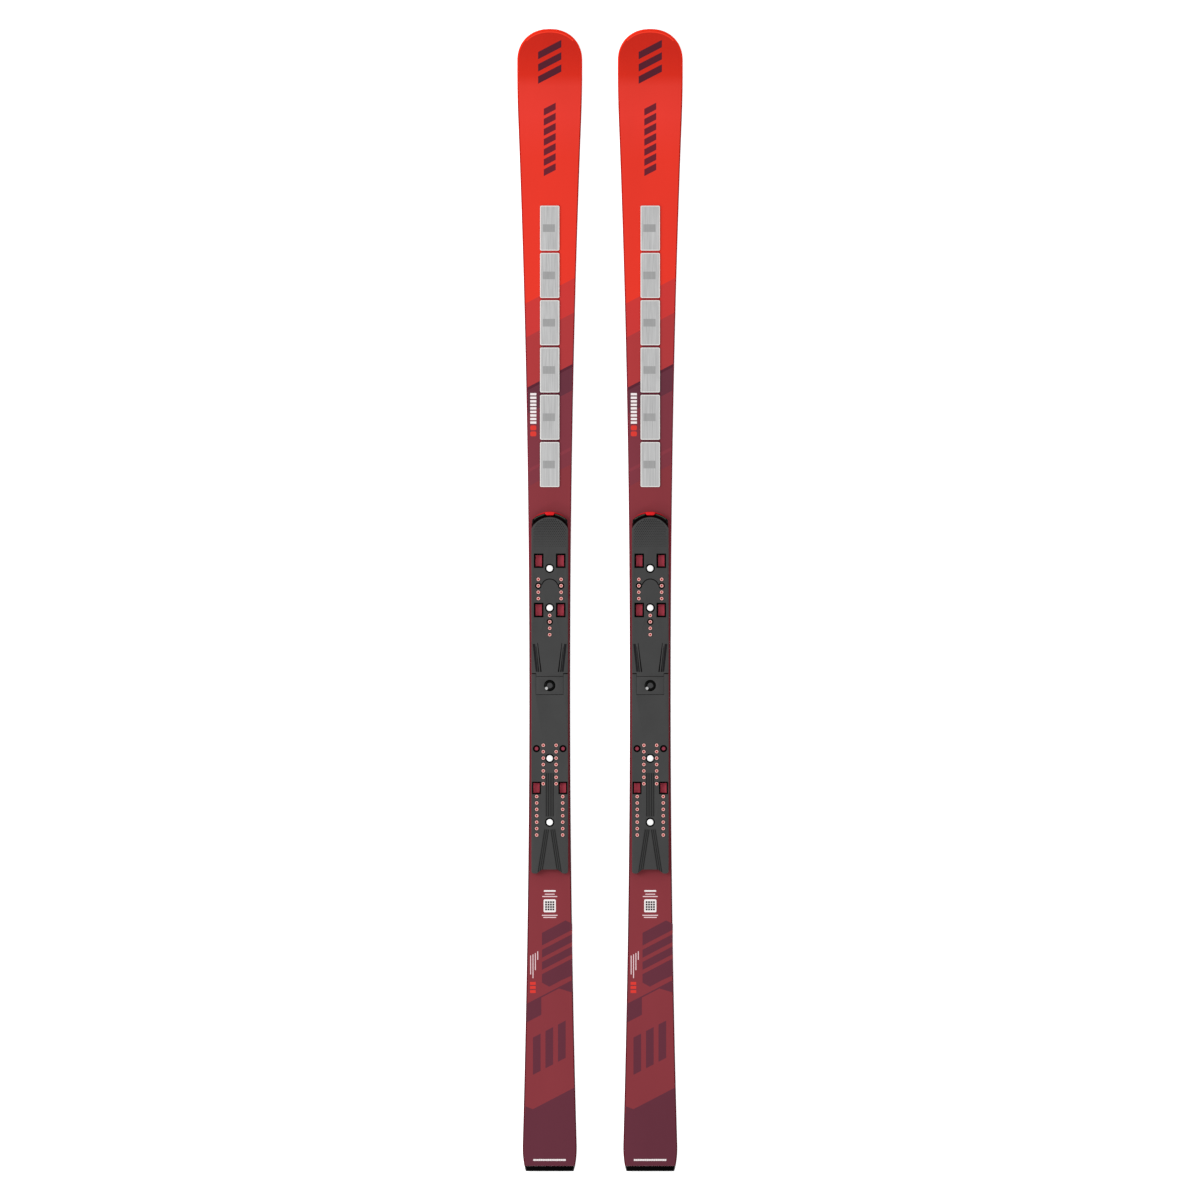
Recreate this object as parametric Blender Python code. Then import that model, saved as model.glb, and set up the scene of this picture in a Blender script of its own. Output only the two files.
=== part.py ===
"""A pair of alpine race skis with their binding plates.

Each ski is built in its own coordinates: x across, y along from the tail end, z up from the
snow. The skis lie side by side, tips towards +Y, and the pair's middle is the origin.
"""

import math

import bmesh
import bpy
from mathutils import Matrix, Vector

# Whole ski
SKI_LENGTH = 1.870
SKI_SPACING = 0.1646  # centre line to centre line
TIP_WIDTH = 0.1064
WAIST_WIDTH = 0.0669
TAIL_WIDTH = 0.0886
TAIL_END_WIDTH = 0.0790
WAIST_BEHIND_MIDDLE = 0.165
WIDEST_FROM_TIP = 0.070
TIP_ROUND = 0.052  # length of the rounded end of the tip
TIP_SQUARENESS = 2.15  # 2 is an ellipse
TAIL_CORNER = 0.040  # length over which the tail's corners are drawn in
TAIL_CORNER_POWER = 2.2
FRONT_FLARE_POWER = 2.1
FRONT_FLARE_GAIN = 1.083
FRONT_FLARE_KNEE = 0.92
REAR_FLARE_POWER = 1.88

# Side view
CAMBER = 0.005
TIP_RISE = 0.046
SHOVEL_LENGTH = 0.165
TAIL_RISE = 0.005
TAIL_RISE_LENGTH = 0.045
MIDDLE_THICKNESS = 0.017
TIP_THICKNESS = 0.0060
TAIL_THICKNESS = 0.0075
SIDE_SLANT = 0.0020  # how far the side leans in from the edge to the topsheet
NOSE_SLANT_RATIO = 1.6  # how much further everything is set back at the very tip

# Layers, and the gap between neighbours
GAP = 0.0003
BASE_THICKNESS = 0.0018
EDGE_WIDTH = 0.0020
METAL_THICKNESS = 0.0006
TOPSHEET_THICKNESS = 0.0008
SIDEWALL_WIDTH = 0.0070
CORE_FROM_TIP = 0.125
TAIL_PROTECTOR_LENGTH = 0.0085

# Race plate, measured from the middle of the boot
BOOT_BEHIND_MIDDLE = 0.140
PLATE_SIDE_MARGIN = 0.00355  # ski showing beside the plate at the waist
PLATE_THICKNESS = 0.010
UNDERLAY_THICKNESS = 0.002
PLATE_FRONT_REACH = 0.2756
PLATE_REAR_REACH = 0.3078
PLATE_NOSE_EXTRA = 0.0031  # radius of the arched nose beyond the plate's half width
LOBE_RADIUS = 0.004
LOBE_WIDTH = 0.0084
NOTCH_HALF_WIDTH = 0.013
NOTCH_DEPTH = 0.0065
STRAIGHT_MARGIN = 0.020  # straight ski past each end of the plate
TOE_UNDERLAY_HALF_WIDTH = 0.0095
HEEL_UNDERLAY_HALF_WIDTH = 0.013
UNDERLAY_INSET = 0.012

# Play of the two plate halves as the ski bends
PLAY_OUT = 0.0012
PLAY_IN = 0.0005
PLAY_CLEARANCE = 0.0004

# Bridge over the split between the halves
BRIDGE_LENGTH = 0.0285
BRIDGE_SIDE_MARGIN = 0.0076  # plate left beside the bridge
BRIDGE_SIDE_GAP = 0.0005
SPLIT_AHEAD = 0.0052  # from the bridge's front edge to the split's middle

# Screws
SCREW_HEAD_RADIUS = 0.00595
SCREW_RECESS_RADIUS = 0.0075
SCREW_HEAD_HEIGHT = 0.0027
SCREW_RECESS_DEPTH = 0.0035
SCREW_SHANK_RADIUS = 0.0028
SCREW_HOLE_CLEARANCE = 0.0004
SCREW_DEPTH_IN_CORE = 0.007
TOE_SCREW_PLACES = (0.1918, 0.1272)
HEEL_SCREW_PLACES = (-0.1192, -0.2238)
CENTRE_HEAD_RADIUS = 0.009
CENTRE_RECESS_CLEARANCE = 0.0005

# Threaded inserts for bindings: distance from the plate's side, first row and number of rows
INSERT_RADIUS = 0.0036
INSERT_DEPTH = 0.006
INSERT_PITCH = 0.0105
TOE_SIDE_INSERTS = (0.0112, 0.1738, 4)
HEEL_OUTER_INSERTS = (0.0086, -0.1817, 7)
SIDE_INSERT_MARGIN = 0.0082
SIDE_INSERT_Y = -0.1033
SIDE_INSERT_RADIUS = 0.00595

# Inserts placed from the centre line: sideways place, first row and number of rows
TOE_MIDDLE_INSERTS = (0.0, 0.1148, 4)
HEEL_INNER_INSERTS = (0.0105, -0.0978, 7)

# Windows through the plate: inner side from the centre line, outer side from the plate's
# side, rear end, front end
TOE_FRONT_WINDOW = (0.0124, 0.0062, 0.1946, 0.2139)
TOE_REAR_WINDOW = (0.0124, 0.0062, 0.1139, 0.1334)
HEEL_WINDOW = (0.0161, 0.0028, -0.1760, -0.1592)
WINDOW_RIM = 0.0017
WINDOW_RIM_DEPTH = 0.0012

# End cap and bumper in front of the plate
CAP_RADIUS_EXTRA = 0.014  # outer radius beyond the cap's half width
CAP_WALL = 0.0035
CAP_FRONT_REACH = 0.2823
CAP_SIDE_MARGIN = 0.0009
CAP_FOOT_LENGTH = 0.0031
CAP_FOOT_WIDTH = 0.0025
BUMPER_HALF_WIDTH = 0.009
BUMPER_LENGTH = 0.0062
BUMPER_SEAT_HEIGHT = 0.005

# Damping row in front of the plate
DAMPER_COUNT = 6
DAMPER_LENGTH = 0.0735
DAMPER_PITCH = 0.0774
DAMPER_WIDTH = 0.0316
DAMPER_THICKNESS = 0.0010
DAMPER_AHEAD_OF_CAP = 0.0427
BED_WIDTH = 0.027
BED_THICKNESS = 0.0008

ROUND_SIDES = 16
INSERT_SIDES = 8
ARC_STEPS = 8

WAIST_Y = SKI_LENGTH / 2 - WAIST_BEHIND_MIDDLE
BOOT_Y = SKI_LENGTH / 2 - BOOT_BEHIND_MIDDLE
WIDEST_Y = SKI_LENGTH - WIDEST_FROM_TIP
TIP_CENTRE_Y = SKI_LENGTH - TIP_ROUND
CONTACT_FRONT_Y = SKI_LENGTH - SHOVEL_LENGTH
CORE_END_Y = SKI_LENGTH - CORE_FROM_TIP
LAYER_START_Y = TAIL_PROTECTOR_LENGTH + GAP
PLATE_HALF_WIDTH = WAIST_WIDTH / 2 - PLATE_SIDE_MARGIN
BRIDGE_HALF_WIDTH = PLATE_HALF_WIDTH - BRIDGE_SIDE_MARGIN
CAP_HALF_WIDTH = PLATE_HALF_WIDTH - CAP_SIDE_MARGIN
CAP_OUTER_RADIUS = CAP_HALF_WIDTH + CAP_RADIUS_EXTRA
CAP_INNER_RADIUS = CAP_OUTER_RADIUS - CAP_WALL
SIDE_INSERT_X = PLATE_HALF_WIDTH - SIDE_INSERT_MARGIN
STRAIGHT_START_Y = BOOT_Y - PLATE_REAR_REACH - STRAIGHT_MARGIN
STRAIGHT_END_Y = BOOT_Y + CAP_FRONT_REACH + STRAIGHT_MARGIN
DECK_Z = CAMBER + MIDDLE_THICKNESS
PLATE_BOTTOM_Z = DECK_Z + UNDERLAY_THICKNESS + 2 * GAP
PLATE_TOP_Z = PLATE_BOTTOM_Z + PLATE_THICKNESS
BRIDGE_FRONT = BRIDGE_LENGTH / 2
SPLIT_HALF_GAP = PLAY_IN + PLAY_CLEARANCE / 2
DAMPER_START_Y = BOOT_Y + CAP_FRONT_REACH + DAMPER_AHEAD_OF_CAP


def srgb(red, green, blue):
    """A colour given on the usual 0 to 255 scale, as Blender's linear values."""
    shares = (red / 255, green / 255, blue / 255)
    linear = [s / 12.92 if s <= 0.04045 else ((s + 0.055) / 1.055) ** 2.4 for s in shares]
    return (*linear, 1.0)


def make_material(name, colour, roughness, metallic=0.0):
    material = bpy.data.materials.new(name)
    material.use_nodes = True
    shader = material.node_tree.nodes["Principled BSDF"]
    shader.inputs["Base Color"].default_value = colour
    shader.inputs["Roughness"].default_value = roughness
    shader.inputs["Metallic"].default_value = metallic
    material.diffuse_color = colour
    return material


def mix(start, end, share):
    return start + (end - start) * share


def smooth(share):
    """Rises from 0 to 1, level at both ends."""
    share = min(max(share, 0.0), 1.0)
    return share * share * (3 - 2 * share)


# ---- the ski's lines ---------------------------------------------------------------------


def front_flare(share):
    """How much of the tip's extra width is reached, from 0 at the waist to 1 at the widest."""
    if share <= FRONT_FLARE_KNEE:
        return FRONT_FLARE_GAIN * share**FRONT_FLARE_POWER
    start = FRONT_FLARE_GAIN * FRONT_FLARE_KNEE**FRONT_FLARE_POWER
    slope = FRONT_FLARE_GAIN * FRONT_FLARE_POWER * FRONT_FLARE_KNEE ** (FRONT_FLARE_POWER - 1)
    reach = 2 * (1 - start) / slope
    past = min((share - FRONT_FLARE_KNEE) / reach, 1.0)
    return start + (1 - start) * past * (2 - past)


def side_line(y):
    """Half the ski's width at y, before the ends are rounded."""
    if y >= WAIST_Y:
        share = (y - WAIST_Y) / (WIDEST_Y - WAIST_Y)
        return mix(WAIST_WIDTH, TIP_WIDTH, front_flare(share)) / 2
    share = min((WAIST_Y - y) / (WAIST_Y - TAIL_CORNER), 1.0)
    half = mix(WAIST_WIDTH, TAIL_WIDTH, share**REAR_FLARE_POWER) / 2
    if y < TAIL_CORNER:
        drawn_in = (TAIL_WIDTH - TAIL_END_WIDTH) / 2
        half -= drawn_in * (1 - y / TAIL_CORNER) ** TAIL_CORNER_POWER
    return half


def outline_point(y, inset):
    """(half width, y) on the outline drawn inset inside the edge, for the station y."""
    half = side_line(y) - inset
    if y <= TIP_CENTRE_Y:
        return half, y
    along = (y - TIP_CENTRE_Y) / TIP_ROUND
    half *= (1 - along**TIP_SQUARENESS) ** (1 / TIP_SQUARENESS)
    nose = TIP_ROUND - NOSE_SLANT_RATIO * inset
    return half, TIP_CENTRE_Y + (y - TIP_CENTRE_Y) * nose / TIP_ROUND


def base_z(y):
    """Height of the running surface: camber between the contact lines, and the raised ends."""
    if y < TAIL_RISE_LENGTH:
        return TAIL_RISE * (1 - y / TAIL_RISE_LENGTH) ** 2
    if y > CONTACT_FRONT_Y:
        return TIP_RISE * ((y - CONTACT_FRONT_Y) / SHOVEL_LENGTH) ** 2
    rear = smooth((y - TAIL_RISE_LENGTH) / (STRAIGHT_START_Y - TAIL_RISE_LENGTH))
    front = smooth((CONTACT_FRONT_Y - y) / (CONTACT_FRONT_Y - STRAIGHT_END_Y))
    return CAMBER * min(rear, front)


def thickness(y):
    if y < STRAIGHT_START_Y:
        share = (y - TAIL_RISE_LENGTH) / (STRAIGHT_START_Y - TAIL_RISE_LENGTH)
        return mix(TAIL_THICKNESS, MIDDLE_THICKNESS, smooth(share))
    share = (CONTACT_FRONT_Y - y) / (CONTACT_FRONT_Y - STRAIGHT_END_Y)
    return mix(TIP_THICKNESS, MIDDLE_THICKNESS, smooth(share))


def deck_z(y):
    """Height of the topsheet's upper face."""
    return base_z(y) + thickness(y)


def even(start, end, steps):
    return [mix(start, end, i / steps) for i in range(steps)]


def all_stations():
    """The places along the ski where every layer has a row of points."""
    ys = even(LAYER_START_Y, TAIL_RISE_LENGTH, 3)
    ys += even(TAIL_RISE_LENGTH, STRAIGHT_START_Y, 5)
    ys += even(STRAIGHT_START_Y, STRAIGHT_END_Y, 5)
    ys += even(STRAIGHT_END_Y, CONTACT_FRONT_Y, 8)
    ys += even(CONTACT_FRONT_Y, TIP_CENTRE_Y, 6)
    for degrees in (0, 12, 24, 36, 47, 58, 68, 77, 84):
        rounded = math.sin(math.radians(degrees)) ** (2 / TIP_SQUARENESS)
        ys.append(TIP_CENTRE_Y + TIP_ROUND * rounded)
    return ys


STATIONS = all_stations()


def stations_between(start, end):
    inner = [y for y in STATIONS if start + 0.002 < y < end - 0.002]
    return [start, *inner, end]


# ---- building blocks ---------------------------------------------------------------------


def make_object(name, mesh_data, material, collection, place):
    """Finishes a bmesh as an object whose origin is at its parent empty."""
    mesh = bpy.data.meshes.new(name)
    bmesh.ops.recalc_face_normals(mesh_data, faces=mesh_data.faces)
    mesh_data.to_mesh(mesh)
    mesh_data.free()
    mesh.transform(Matrix.Translation(-place["at"]))
    obj = bpy.data.objects.new(name, mesh)
    obj.parent = place["empty"]
    if material:
        mesh.materials.append(material)
    collection.objects.link(obj)
    return obj


def bent_box(stations, side_inset, bottom, top):
    """A box cut across at each station and bent to the ski's lines.

    side_inset(x_side, up) gives (sign of x, inset from the edge) for each long edge;
    bottom(y) and top(y) are heights.
    """
    shape = bmesh.new()
    bmesh.ops.create_cube(shape, size=1.0)
    long_edges = [e for e in shape.edges if abs(e.verts[0].co.y - e.verts[1].co.y) > 0.5]
    bmesh.ops.subdivide_edges(
        shape, edges=long_edges, cuts=len(stations) - 2, use_grid_fill=True
    )
    for vert in shape.verts:
        station = stations[round((vert.co.y + 0.5) * (len(stations) - 1))]
        up = vert.co.z + 0.5
        sign, inset = side_inset(vert.co.x > 0, up)
        half, y = outline_point(station, inset)
        vert.co = (sign * half, y, mix(bottom(y), top(y), up))
    return shape


def slab(points, bottom, top):
    """A flat outline of (x, y) points given a thickness."""
    shape = bmesh.new()
    face = shape.faces.new([shape.verts.new((x, y, bottom)) for x, y in points])
    raised = bmesh.ops.extrude_face_region(shape, geom=[face])
    moved = [part for part in raised["geom"] if isinstance(part, bmesh.types.BMVert)]
    bmesh.ops.translate(shape, verts=moved, vec=(0, 0, top - bottom))
    return shape


def mirrored(points):
    """The right half of an outline, with its left half added."""
    return points + [(-x, y) for x, y in reversed(points) if x > 0]


def arc(centre, radius, start, end, steps=ARC_STEPS):
    """Points on an arc, with angles in degrees from +X."""
    turns = [math.radians(mix(start, end, i / steps)) for i in range(steps + 1)]
    return [(centre[0] + radius * math.cos(t), centre[1] + radius * math.sin(t)) for t in turns]


def add_box(shape, x_range, y_range, z_range):
    middle = [(a + b) / 2 for a, b in (x_range, y_range, z_range)]
    size = [b - a for a, b in (x_range, y_range, z_range)]
    matrix = Matrix.Translation(middle) @ Matrix.Diagonal((*size, 1.0))
    bmesh.ops.create_cube(shape, size=1.0, matrix=matrix)


def add_cylinder(shape, x, y, radius, z_range, sides):
    matrix = Matrix.Translation((x, y, (z_range[0] + z_range[1]) / 2))
    bmesh.ops.create_cone(
        shape,
        cap_ends=True,
        segments=sides,
        radius1=radius,
        radius2=radius,
        depth=z_range[1] - z_range[0],
        matrix=matrix,
    )


def cut(obj, cutter):
    modifier = obj.modifiers.new("Cut", "BOOLEAN")
    modifier.operation = "DIFFERENCE"
    modifier.object = cutter


def make_empty(name, at, parent, collection):
    empty = bpy.data.objects.new(name, None)
    empty.location = at
    empty.parent = parent
    empty.empty_display_size = 0.05
    collection.objects.link(empty)
    return empty


# ---- one ski -----------------------------------------------------------------------------


def screw_profile(head_radius, foot):
    """(radius, z) down the outer side of a flat-headed screw."""
    seat = PLATE_TOP_Z - SCREW_RECESS_DEPTH + GAP
    return [
        (0.0, seat + SCREW_HEAD_HEIGHT),
        (head_radius, seat + SCREW_HEAD_HEIGHT),
        (head_radius, seat),
        (SCREW_SHANK_RADIUS, seat),
        (SCREW_SHANK_RADIUS, foot),
        (0.0, foot),
    ]


class Ski:
    def __init__(self, side, sign, parts, cutters, finishes):
        self.side = side
        self.parts = parts
        self.cutters = cutters
        self.finishes = finishes
        middle = Vector((0, SKI_LENGTH / 2, 0))
        empty = make_empty(f"{side}_ski", (sign * SKI_SPACING / 2, 0, 0), None, parts)
        self.fixed = {"empty": empty, "at": middle}
        self.toe_slide = self.slide("toe", PLATE_FRONT_REACH / 2)
        self.heel_slide = self.slide("heel", -PLATE_REAR_REACH / 2)

    def slide(self, half, reach):
        """An empty on the line that one half of the plate slides along."""
        at = Vector((0, BOOT_Y + reach, PLATE_BOTTOM_Z))
        parent = self.fixed["empty"]
        empty = make_empty(
            f"{self.side}_{half}_slide", at - self.fixed["at"], parent, self.parts
        )
        return {"empty": empty, "at": at}

    def add(self, name, shape, finish, place=None):
        full_name = f"{self.side}_{name}"
        material = self.finishes[finish]
        return make_object(full_name, shape, material, self.parts, place or self.fixed)

    def add_cutter(self, name, shape, place=None):
        full_name = f"{self.side}_{name}"
        cutter = make_object(full_name, shape, None, self.cutters, place or self.fixed)
        cutter.hide_render = True
        cutter.display_type = "WIRE"
        return cutter

    def build(self):
        self.add_base_and_edges()
        self.add_sandwich()
        self.add_ends()
        self.add_screws()
        self.add_underlays()
        self.add_toe_plate()
        self.add_heel_plate()
        self.add_bridge()
        self.add_cap_and_bumper()
        self.add_dampers()

    # -- body of the ski

    def add_base_and_edges(self):
        ys = stations_between(LAYER_START_Y, STATIONS[-1])

        def top(y):
            return base_z(y) + BASE_THICKNESS

        def base_sides(on_right, up):
            return (1 if on_right else -1), EDGE_WIDTH + GAP

        self.add("running_base", bent_box(ys, base_sides, base_z, top), "base")
        for edge_side, sign in (("left", -1), ("right", 1)):

            def edge_sides(on_right, up, sign=sign):
                outer = on_right == (sign > 0)
                return sign, 0.0 if outer else EDGE_WIDTH

            shape = bent_box(ys, edge_sides, base_z, top)
            self.add(f"edge_{edge_side}", shape, "steel")

    def add_sandwich(self):
        core_ys = stations_between(LAYER_START_Y, CORE_END_Y)
        metal_low = BASE_THICKNESS + GAP
        core_low = metal_low + METAL_THICKNESS + GAP
        core_high = TOPSHEET_THICKNESS + METAL_THICKNESS + 2 * GAP

        def above_base(height):
            return lambda y: base_z(y) + height

        def below_deck(depth):
            return lambda y: deck_z(y) - depth

        def both_sides(low, high):
            return lambda on_right, up: ((1 if on_right else -1), mix(low, high, up))

        lower = bent_box(
            core_ys,
            both_sides(GAP, GAP),
            above_base(metal_low),
            above_base(metal_low + METAL_THICKNESS),
        )
        self.add("lower_metal_sheet", lower, "alloy")
        core_inset = SIDE_SLANT + SIDEWALL_WIDTH + GAP
        core = bent_box(
            core_ys, both_sides(core_inset, core_inset), above_base(core_low), below_deck(core_high)
        )
        self.core = self.add("wood_core", core, "wood")
        for wall_side, sign in (("left", -1), ("right", 1)):

            def wall_sides(on_right, up, sign=sign):
                outer = on_right == (sign > 0)
                lean = mix(GAP, SIDE_SLANT - GAP, up)
                return sign, lean if outer else SIDE_SLANT + SIDEWALL_WIDTH

            wall = bent_box(core_ys, wall_sides, above_base(core_low), below_deck(core_high))
            self.add(f"sidewall_{wall_side}", wall, "sidewall")
        upper = bent_box(
            core_ys,
            both_sides(SIDE_SLANT, SIDE_SLANT),
            below_deck(core_high - GAP),
            below_deck(TOPSHEET_THICKNESS + GAP),
        )
        self.upper_metal = self.add("upper_metal_sheet", upper, "alloy")
        top_ys = stations_between(LAYER_START_Y, STATIONS[-1])
        topsheet = bent_box(
            top_ys, both_sides(SIDE_SLANT, SIDE_SLANT), below_deck(TOPSHEET_THICKNESS), deck_z
        )
        self.topsheet = self.add("topsheet", topsheet, "topsheet")
        tip_ys = stations_between(CORE_END_Y + GAP, STATIONS[-1])
        spacer = bent_box(
            tip_ys,
            both_sides(GAP, SIDE_SLANT - GAP),
            above_base(metal_low),
            below_deck(TOPSHEET_THICKNESS + GAP),
        )
        self.add("tip_spacer", spacer, "sidewall")

    def add_ends(self):
        ys = [0.0, TAIL_PROTECTOR_LENGTH / 2, TAIL_PROTECTOR_LENGTH]

        def sides(on_right, up):
            return (1 if on_right else -1), SIDE_SLANT * up

        self.add("tail_protector", bent_box(ys, sides, base_z, deck_z), "cap")

    # -- screws

    def plate_screw_places(self):
        return [BOOT_Y + reach for reach in (*TOE_SCREW_PLACES, *HEEL_SCREW_PLACES)]

    def turned(self, profile, y):
        """A screw: the profile runs down the outer side from the top of the axis to its foot."""
        shape = bmesh.new()
        points = [shape.verts.new((radius, y, z)) for radius, z in profile]
        for first, second in zip(points, points[1:]):
            shape.edges.new((first, second))
        bmesh.ops.spin(
            shape,
            geom=shape.verts[:] + shape.edges[:],
            cent=(0, y, 0),
            axis=(0, 0, 1),
            angle=math.tau,
            steps=ROUND_SIDES,
            use_merge=True,
        )
        bmesh.ops.remove_doubles(shape, verts=shape.verts, dist=0.00001)
        return shape

    def add_screws(self):
        foot = DECK_Z - TOPSHEET_THICKNESS - METAL_THICKNESS - 2 * GAP - SCREW_DEPTH_IN_CORE
        holes = bmesh.new()
        for y in (BOOT_Y, *self.plate_screw_places()):
            radius = SCREW_SHANK_RADIUS + SCREW_HOLE_CLEARANCE
            depth = (foot - SCREW_HOLE_CLEARANCE, PLATE_BOTTOM_Z)
            add_cylinder(holes, 0.0, y, radius, depth, ROUND_SIDES)
        self.screw_holes = self.add_cutter("screw_holes", holes)
        for obj in (self.core, self.upper_metal, self.topsheet):
            cut(obj, self.screw_holes)
        names = ("toe_screw_front", "toe_screw_rear", "heel_screw_front", "heel_screw_rear")
        for name, y in zip(names, self.plate_screw_places()):
            self.add(name, self.turned(screw_profile(SCREW_HEAD_RADIUS, foot), y), "white")
        centre = self.turned(screw_profile(CENTRE_HEAD_RADIUS, foot), BOOT_Y)
        self.add("centre_screw", centre, "screw")

    # -- race plate

    def add_underlays(self):
        bottom = DECK_Z + GAP
        top = bottom + UNDERLAY_THICKNESS
        split = BOOT_Y + BRIDGE_FRONT + SPLIT_AHEAD
        spans = {
            "toe_underlay": (
                TOE_UNDERLAY_HALF_WIDTH,
                split + UNDERLAY_INSET,
                BOOT_Y + PLATE_FRONT_REACH - UNDERLAY_INSET,
            ),
            "heel_underlay": (
                HEEL_UNDERLAY_HALF_WIDTH,
                BOOT_Y - PLATE_REAR_REACH + UNDERLAY_INSET,
                BOOT_Y - BRIDGE_LENGTH / 2 - UNDERLAY_INSET,
            ),
        }
        for name, (half, rear, front) in spans.items():
            shape = bmesh.new()
            add_box(shape, (-half, half), (rear, front), (bottom, top))
            cut(self.add(name, shape, "rubber"), self.screw_holes)

    def plate_cutter(self, name, place, inserts, windows, screws, side_inserts=()):
        """Everything that is cut from one half of the plate, as one set of separate solids."""
        above = PLATE_TOP_Z + 0.001
        below = PLATE_BOTTOM_Z - 0.001
        shape = bmesh.new()
        for x, first, rows in inserts:
            for row in range(rows):
                y = BOOT_Y + first - row * INSERT_PITCH
                for sign in (1, -1) if x else (1,):
                    floor = PLATE_TOP_Z - INSERT_DEPTH
                    add_cylinder(shape, sign * x, y, INSERT_RADIUS, (floor, above), INSERT_SIDES)
        rims = bmesh.new()
        for x, y in side_inserts:
            floor = PLATE_TOP_Z - INSERT_DEPTH
            add_cylinder(rims, x, BOOT_Y + y, SIDE_INSERT_RADIUS, (floor, above), ROUND_SIDES)
        for inner, outer, rear, front in windows:
            for sign in (1, -1):
                xs = sorted((sign * inner, sign * (PLATE_HALF_WIDTH - outer)))
                ys = (BOOT_Y + rear, BOOT_Y + front)
                add_box(shape, xs, ys, (below, above))
                wide = (xs[0] - WINDOW_RIM, xs[1] + WINDOW_RIM)
                long = (ys[0] - WINDOW_RIM, ys[1] + WINDOW_RIM)
                add_box(rims, wide, long, (PLATE_TOP_Z - WINDOW_RIM_DEPTH, above))
        for reach in screws:
            y = BOOT_Y + reach
            clear = SCREW_SHANK_RADIUS + PLAY_OUT + 2 * PLAY_CLEARANCE
            add_cylinder(shape, 0.0, y, clear, (below, above), ROUND_SIDES)
            floor = PLATE_TOP_Z - SCREW_RECESS_DEPTH
            add_cylinder(rims, 0.0, y, SCREW_RECESS_RADIUS, (floor, above), ROUND_SIDES)
        holes = self.add_cutter(f"{name}_holes", shape, place)
        return holes, self.add_cutter(f"{name}_recesses", rims, place)

    def nose(self, radius, front, half_width, steps=ARC_STEPS):
        """The right half of an arched front end, from the side to the middle."""
        centre = (0.0, BOOT_Y + front - radius)
        start = math.degrees(math.acos(min(half_width / radius, 1.0)))
        return arc(centre, radius, start, 90, steps)

    def add_toe_plate(self):
        tongue = BOOT_Y + BRIDGE_FRONT + PLAY_IN + PLAY_CLEARANCE
        rear = BOOT_Y + BRIDGE_FRONT + SPLIT_AHEAD + SPLIT_HALF_GAP
        radius = PLATE_HALF_WIDTH + PLATE_NOSE_EXTRA
        nose = self.nose(radius, PLATE_FRONT_REACH, PLATE_HALF_WIDTH)
        right = [
            (BRIDGE_HALF_WIDTH - BRIDGE_SIDE_GAP, tongue),
            (BRIDGE_HALF_WIDTH - BRIDGE_SIDE_GAP, rear),
            (PLATE_HALF_WIDTH, rear),
            *nose[:-1],
            (0.0, nose[-1][1]),
        ]
        shape = slab(mirrored(right), PLATE_BOTTOM_Z, PLATE_TOP_Z)
        plate = self.add("toe_plate", shape, "plate", self.toe_slide)
        for cutter in self.plate_cutter(
            "toe",
            self.toe_slide,
            (from_side(*TOE_SIDE_INSERTS), TOE_MIDDLE_INSERTS),
            (TOE_FRONT_WINDOW, TOE_REAR_WINDOW),
            TOE_SCREW_PLACES,
        ):
            cut(plate, cutter)

    def add_heel_plate(self):
        front = BOOT_Y + BRIDGE_FRONT + SPLIT_AHEAD - SPLIT_HALF_GAP
        slot = BRIDGE_HALF_WIDTH + BRIDGE_SIDE_GAP
        slot_end = BOOT_Y - BRIDGE_LENGTH / 2 - PLAY_IN - PLAY_CLEARANCE
        rear = BOOT_Y - PLATE_REAR_REACH
        lobe = (PLATE_HALF_WIDTH - LOBE_RADIUS, rear + LOBE_RADIUS)
        right = [
            (NOTCH_HALF_WIDTH, rear + NOTCH_DEPTH),
            (PLATE_HALF_WIDTH - LOBE_WIDTH, rear),
            *arc(lobe, LOBE_RADIUS, -90, 0, 4),
            (PLATE_HALF_WIDTH, front),
            (slot, front),
            (slot, slot_end),
        ]
        shape = slab(mirrored(right), PLATE_BOTTOM_Z, PLATE_TOP_Z)
        plate = self.add("heel_plate", shape, "plate", self.heel_slide)
        for cutter in self.plate_cutter(
            "heel",
            self.heel_slide,
            (HEEL_INNER_INSERTS, from_side(*HEEL_OUTER_INSERTS)),
            (HEEL_WINDOW,),
            HEEL_SCREW_PLACES,
            [(sign * SIDE_INSERT_X, SIDE_INSERT_Y) for sign in (1, -1)],
        ):
            cut(plate, cutter)

    def add_bridge(self):
        shape = bmesh.new()
        half = BRIDGE_LENGTH / 2
        add_box(
            shape,
            (-BRIDGE_HALF_WIDTH, BRIDGE_HALF_WIDTH),
            (BOOT_Y - half, BOOT_Y + half),
            (DECK_Z + GAP, PLATE_TOP_Z),
        )
        bridge = self.add("bridge", shape, "plate")
        hole = bmesh.new()
        radius = SCREW_SHANK_RADIUS + SCREW_HOLE_CLEARANCE
        add_cylinder(hole, 0.0, BOOT_Y, radius, (DECK_Z - 0.001, PLATE_TOP_Z), ROUND_SIDES)
        cut(bridge, self.add_cutter("bridge_hole", hole))
        recess = bmesh.new()
        depth = (PLATE_TOP_Z - SCREW_RECESS_DEPTH, PLATE_TOP_Z + 0.001)
        radius = CENTRE_HEAD_RADIUS + CENTRE_RECESS_CLEARANCE
        add_cylinder(recess, 0.0, BOOT_Y, radius, depth, ROUND_SIDES)
        cut(bridge, self.add_cutter("bridge_recess", recess))

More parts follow.
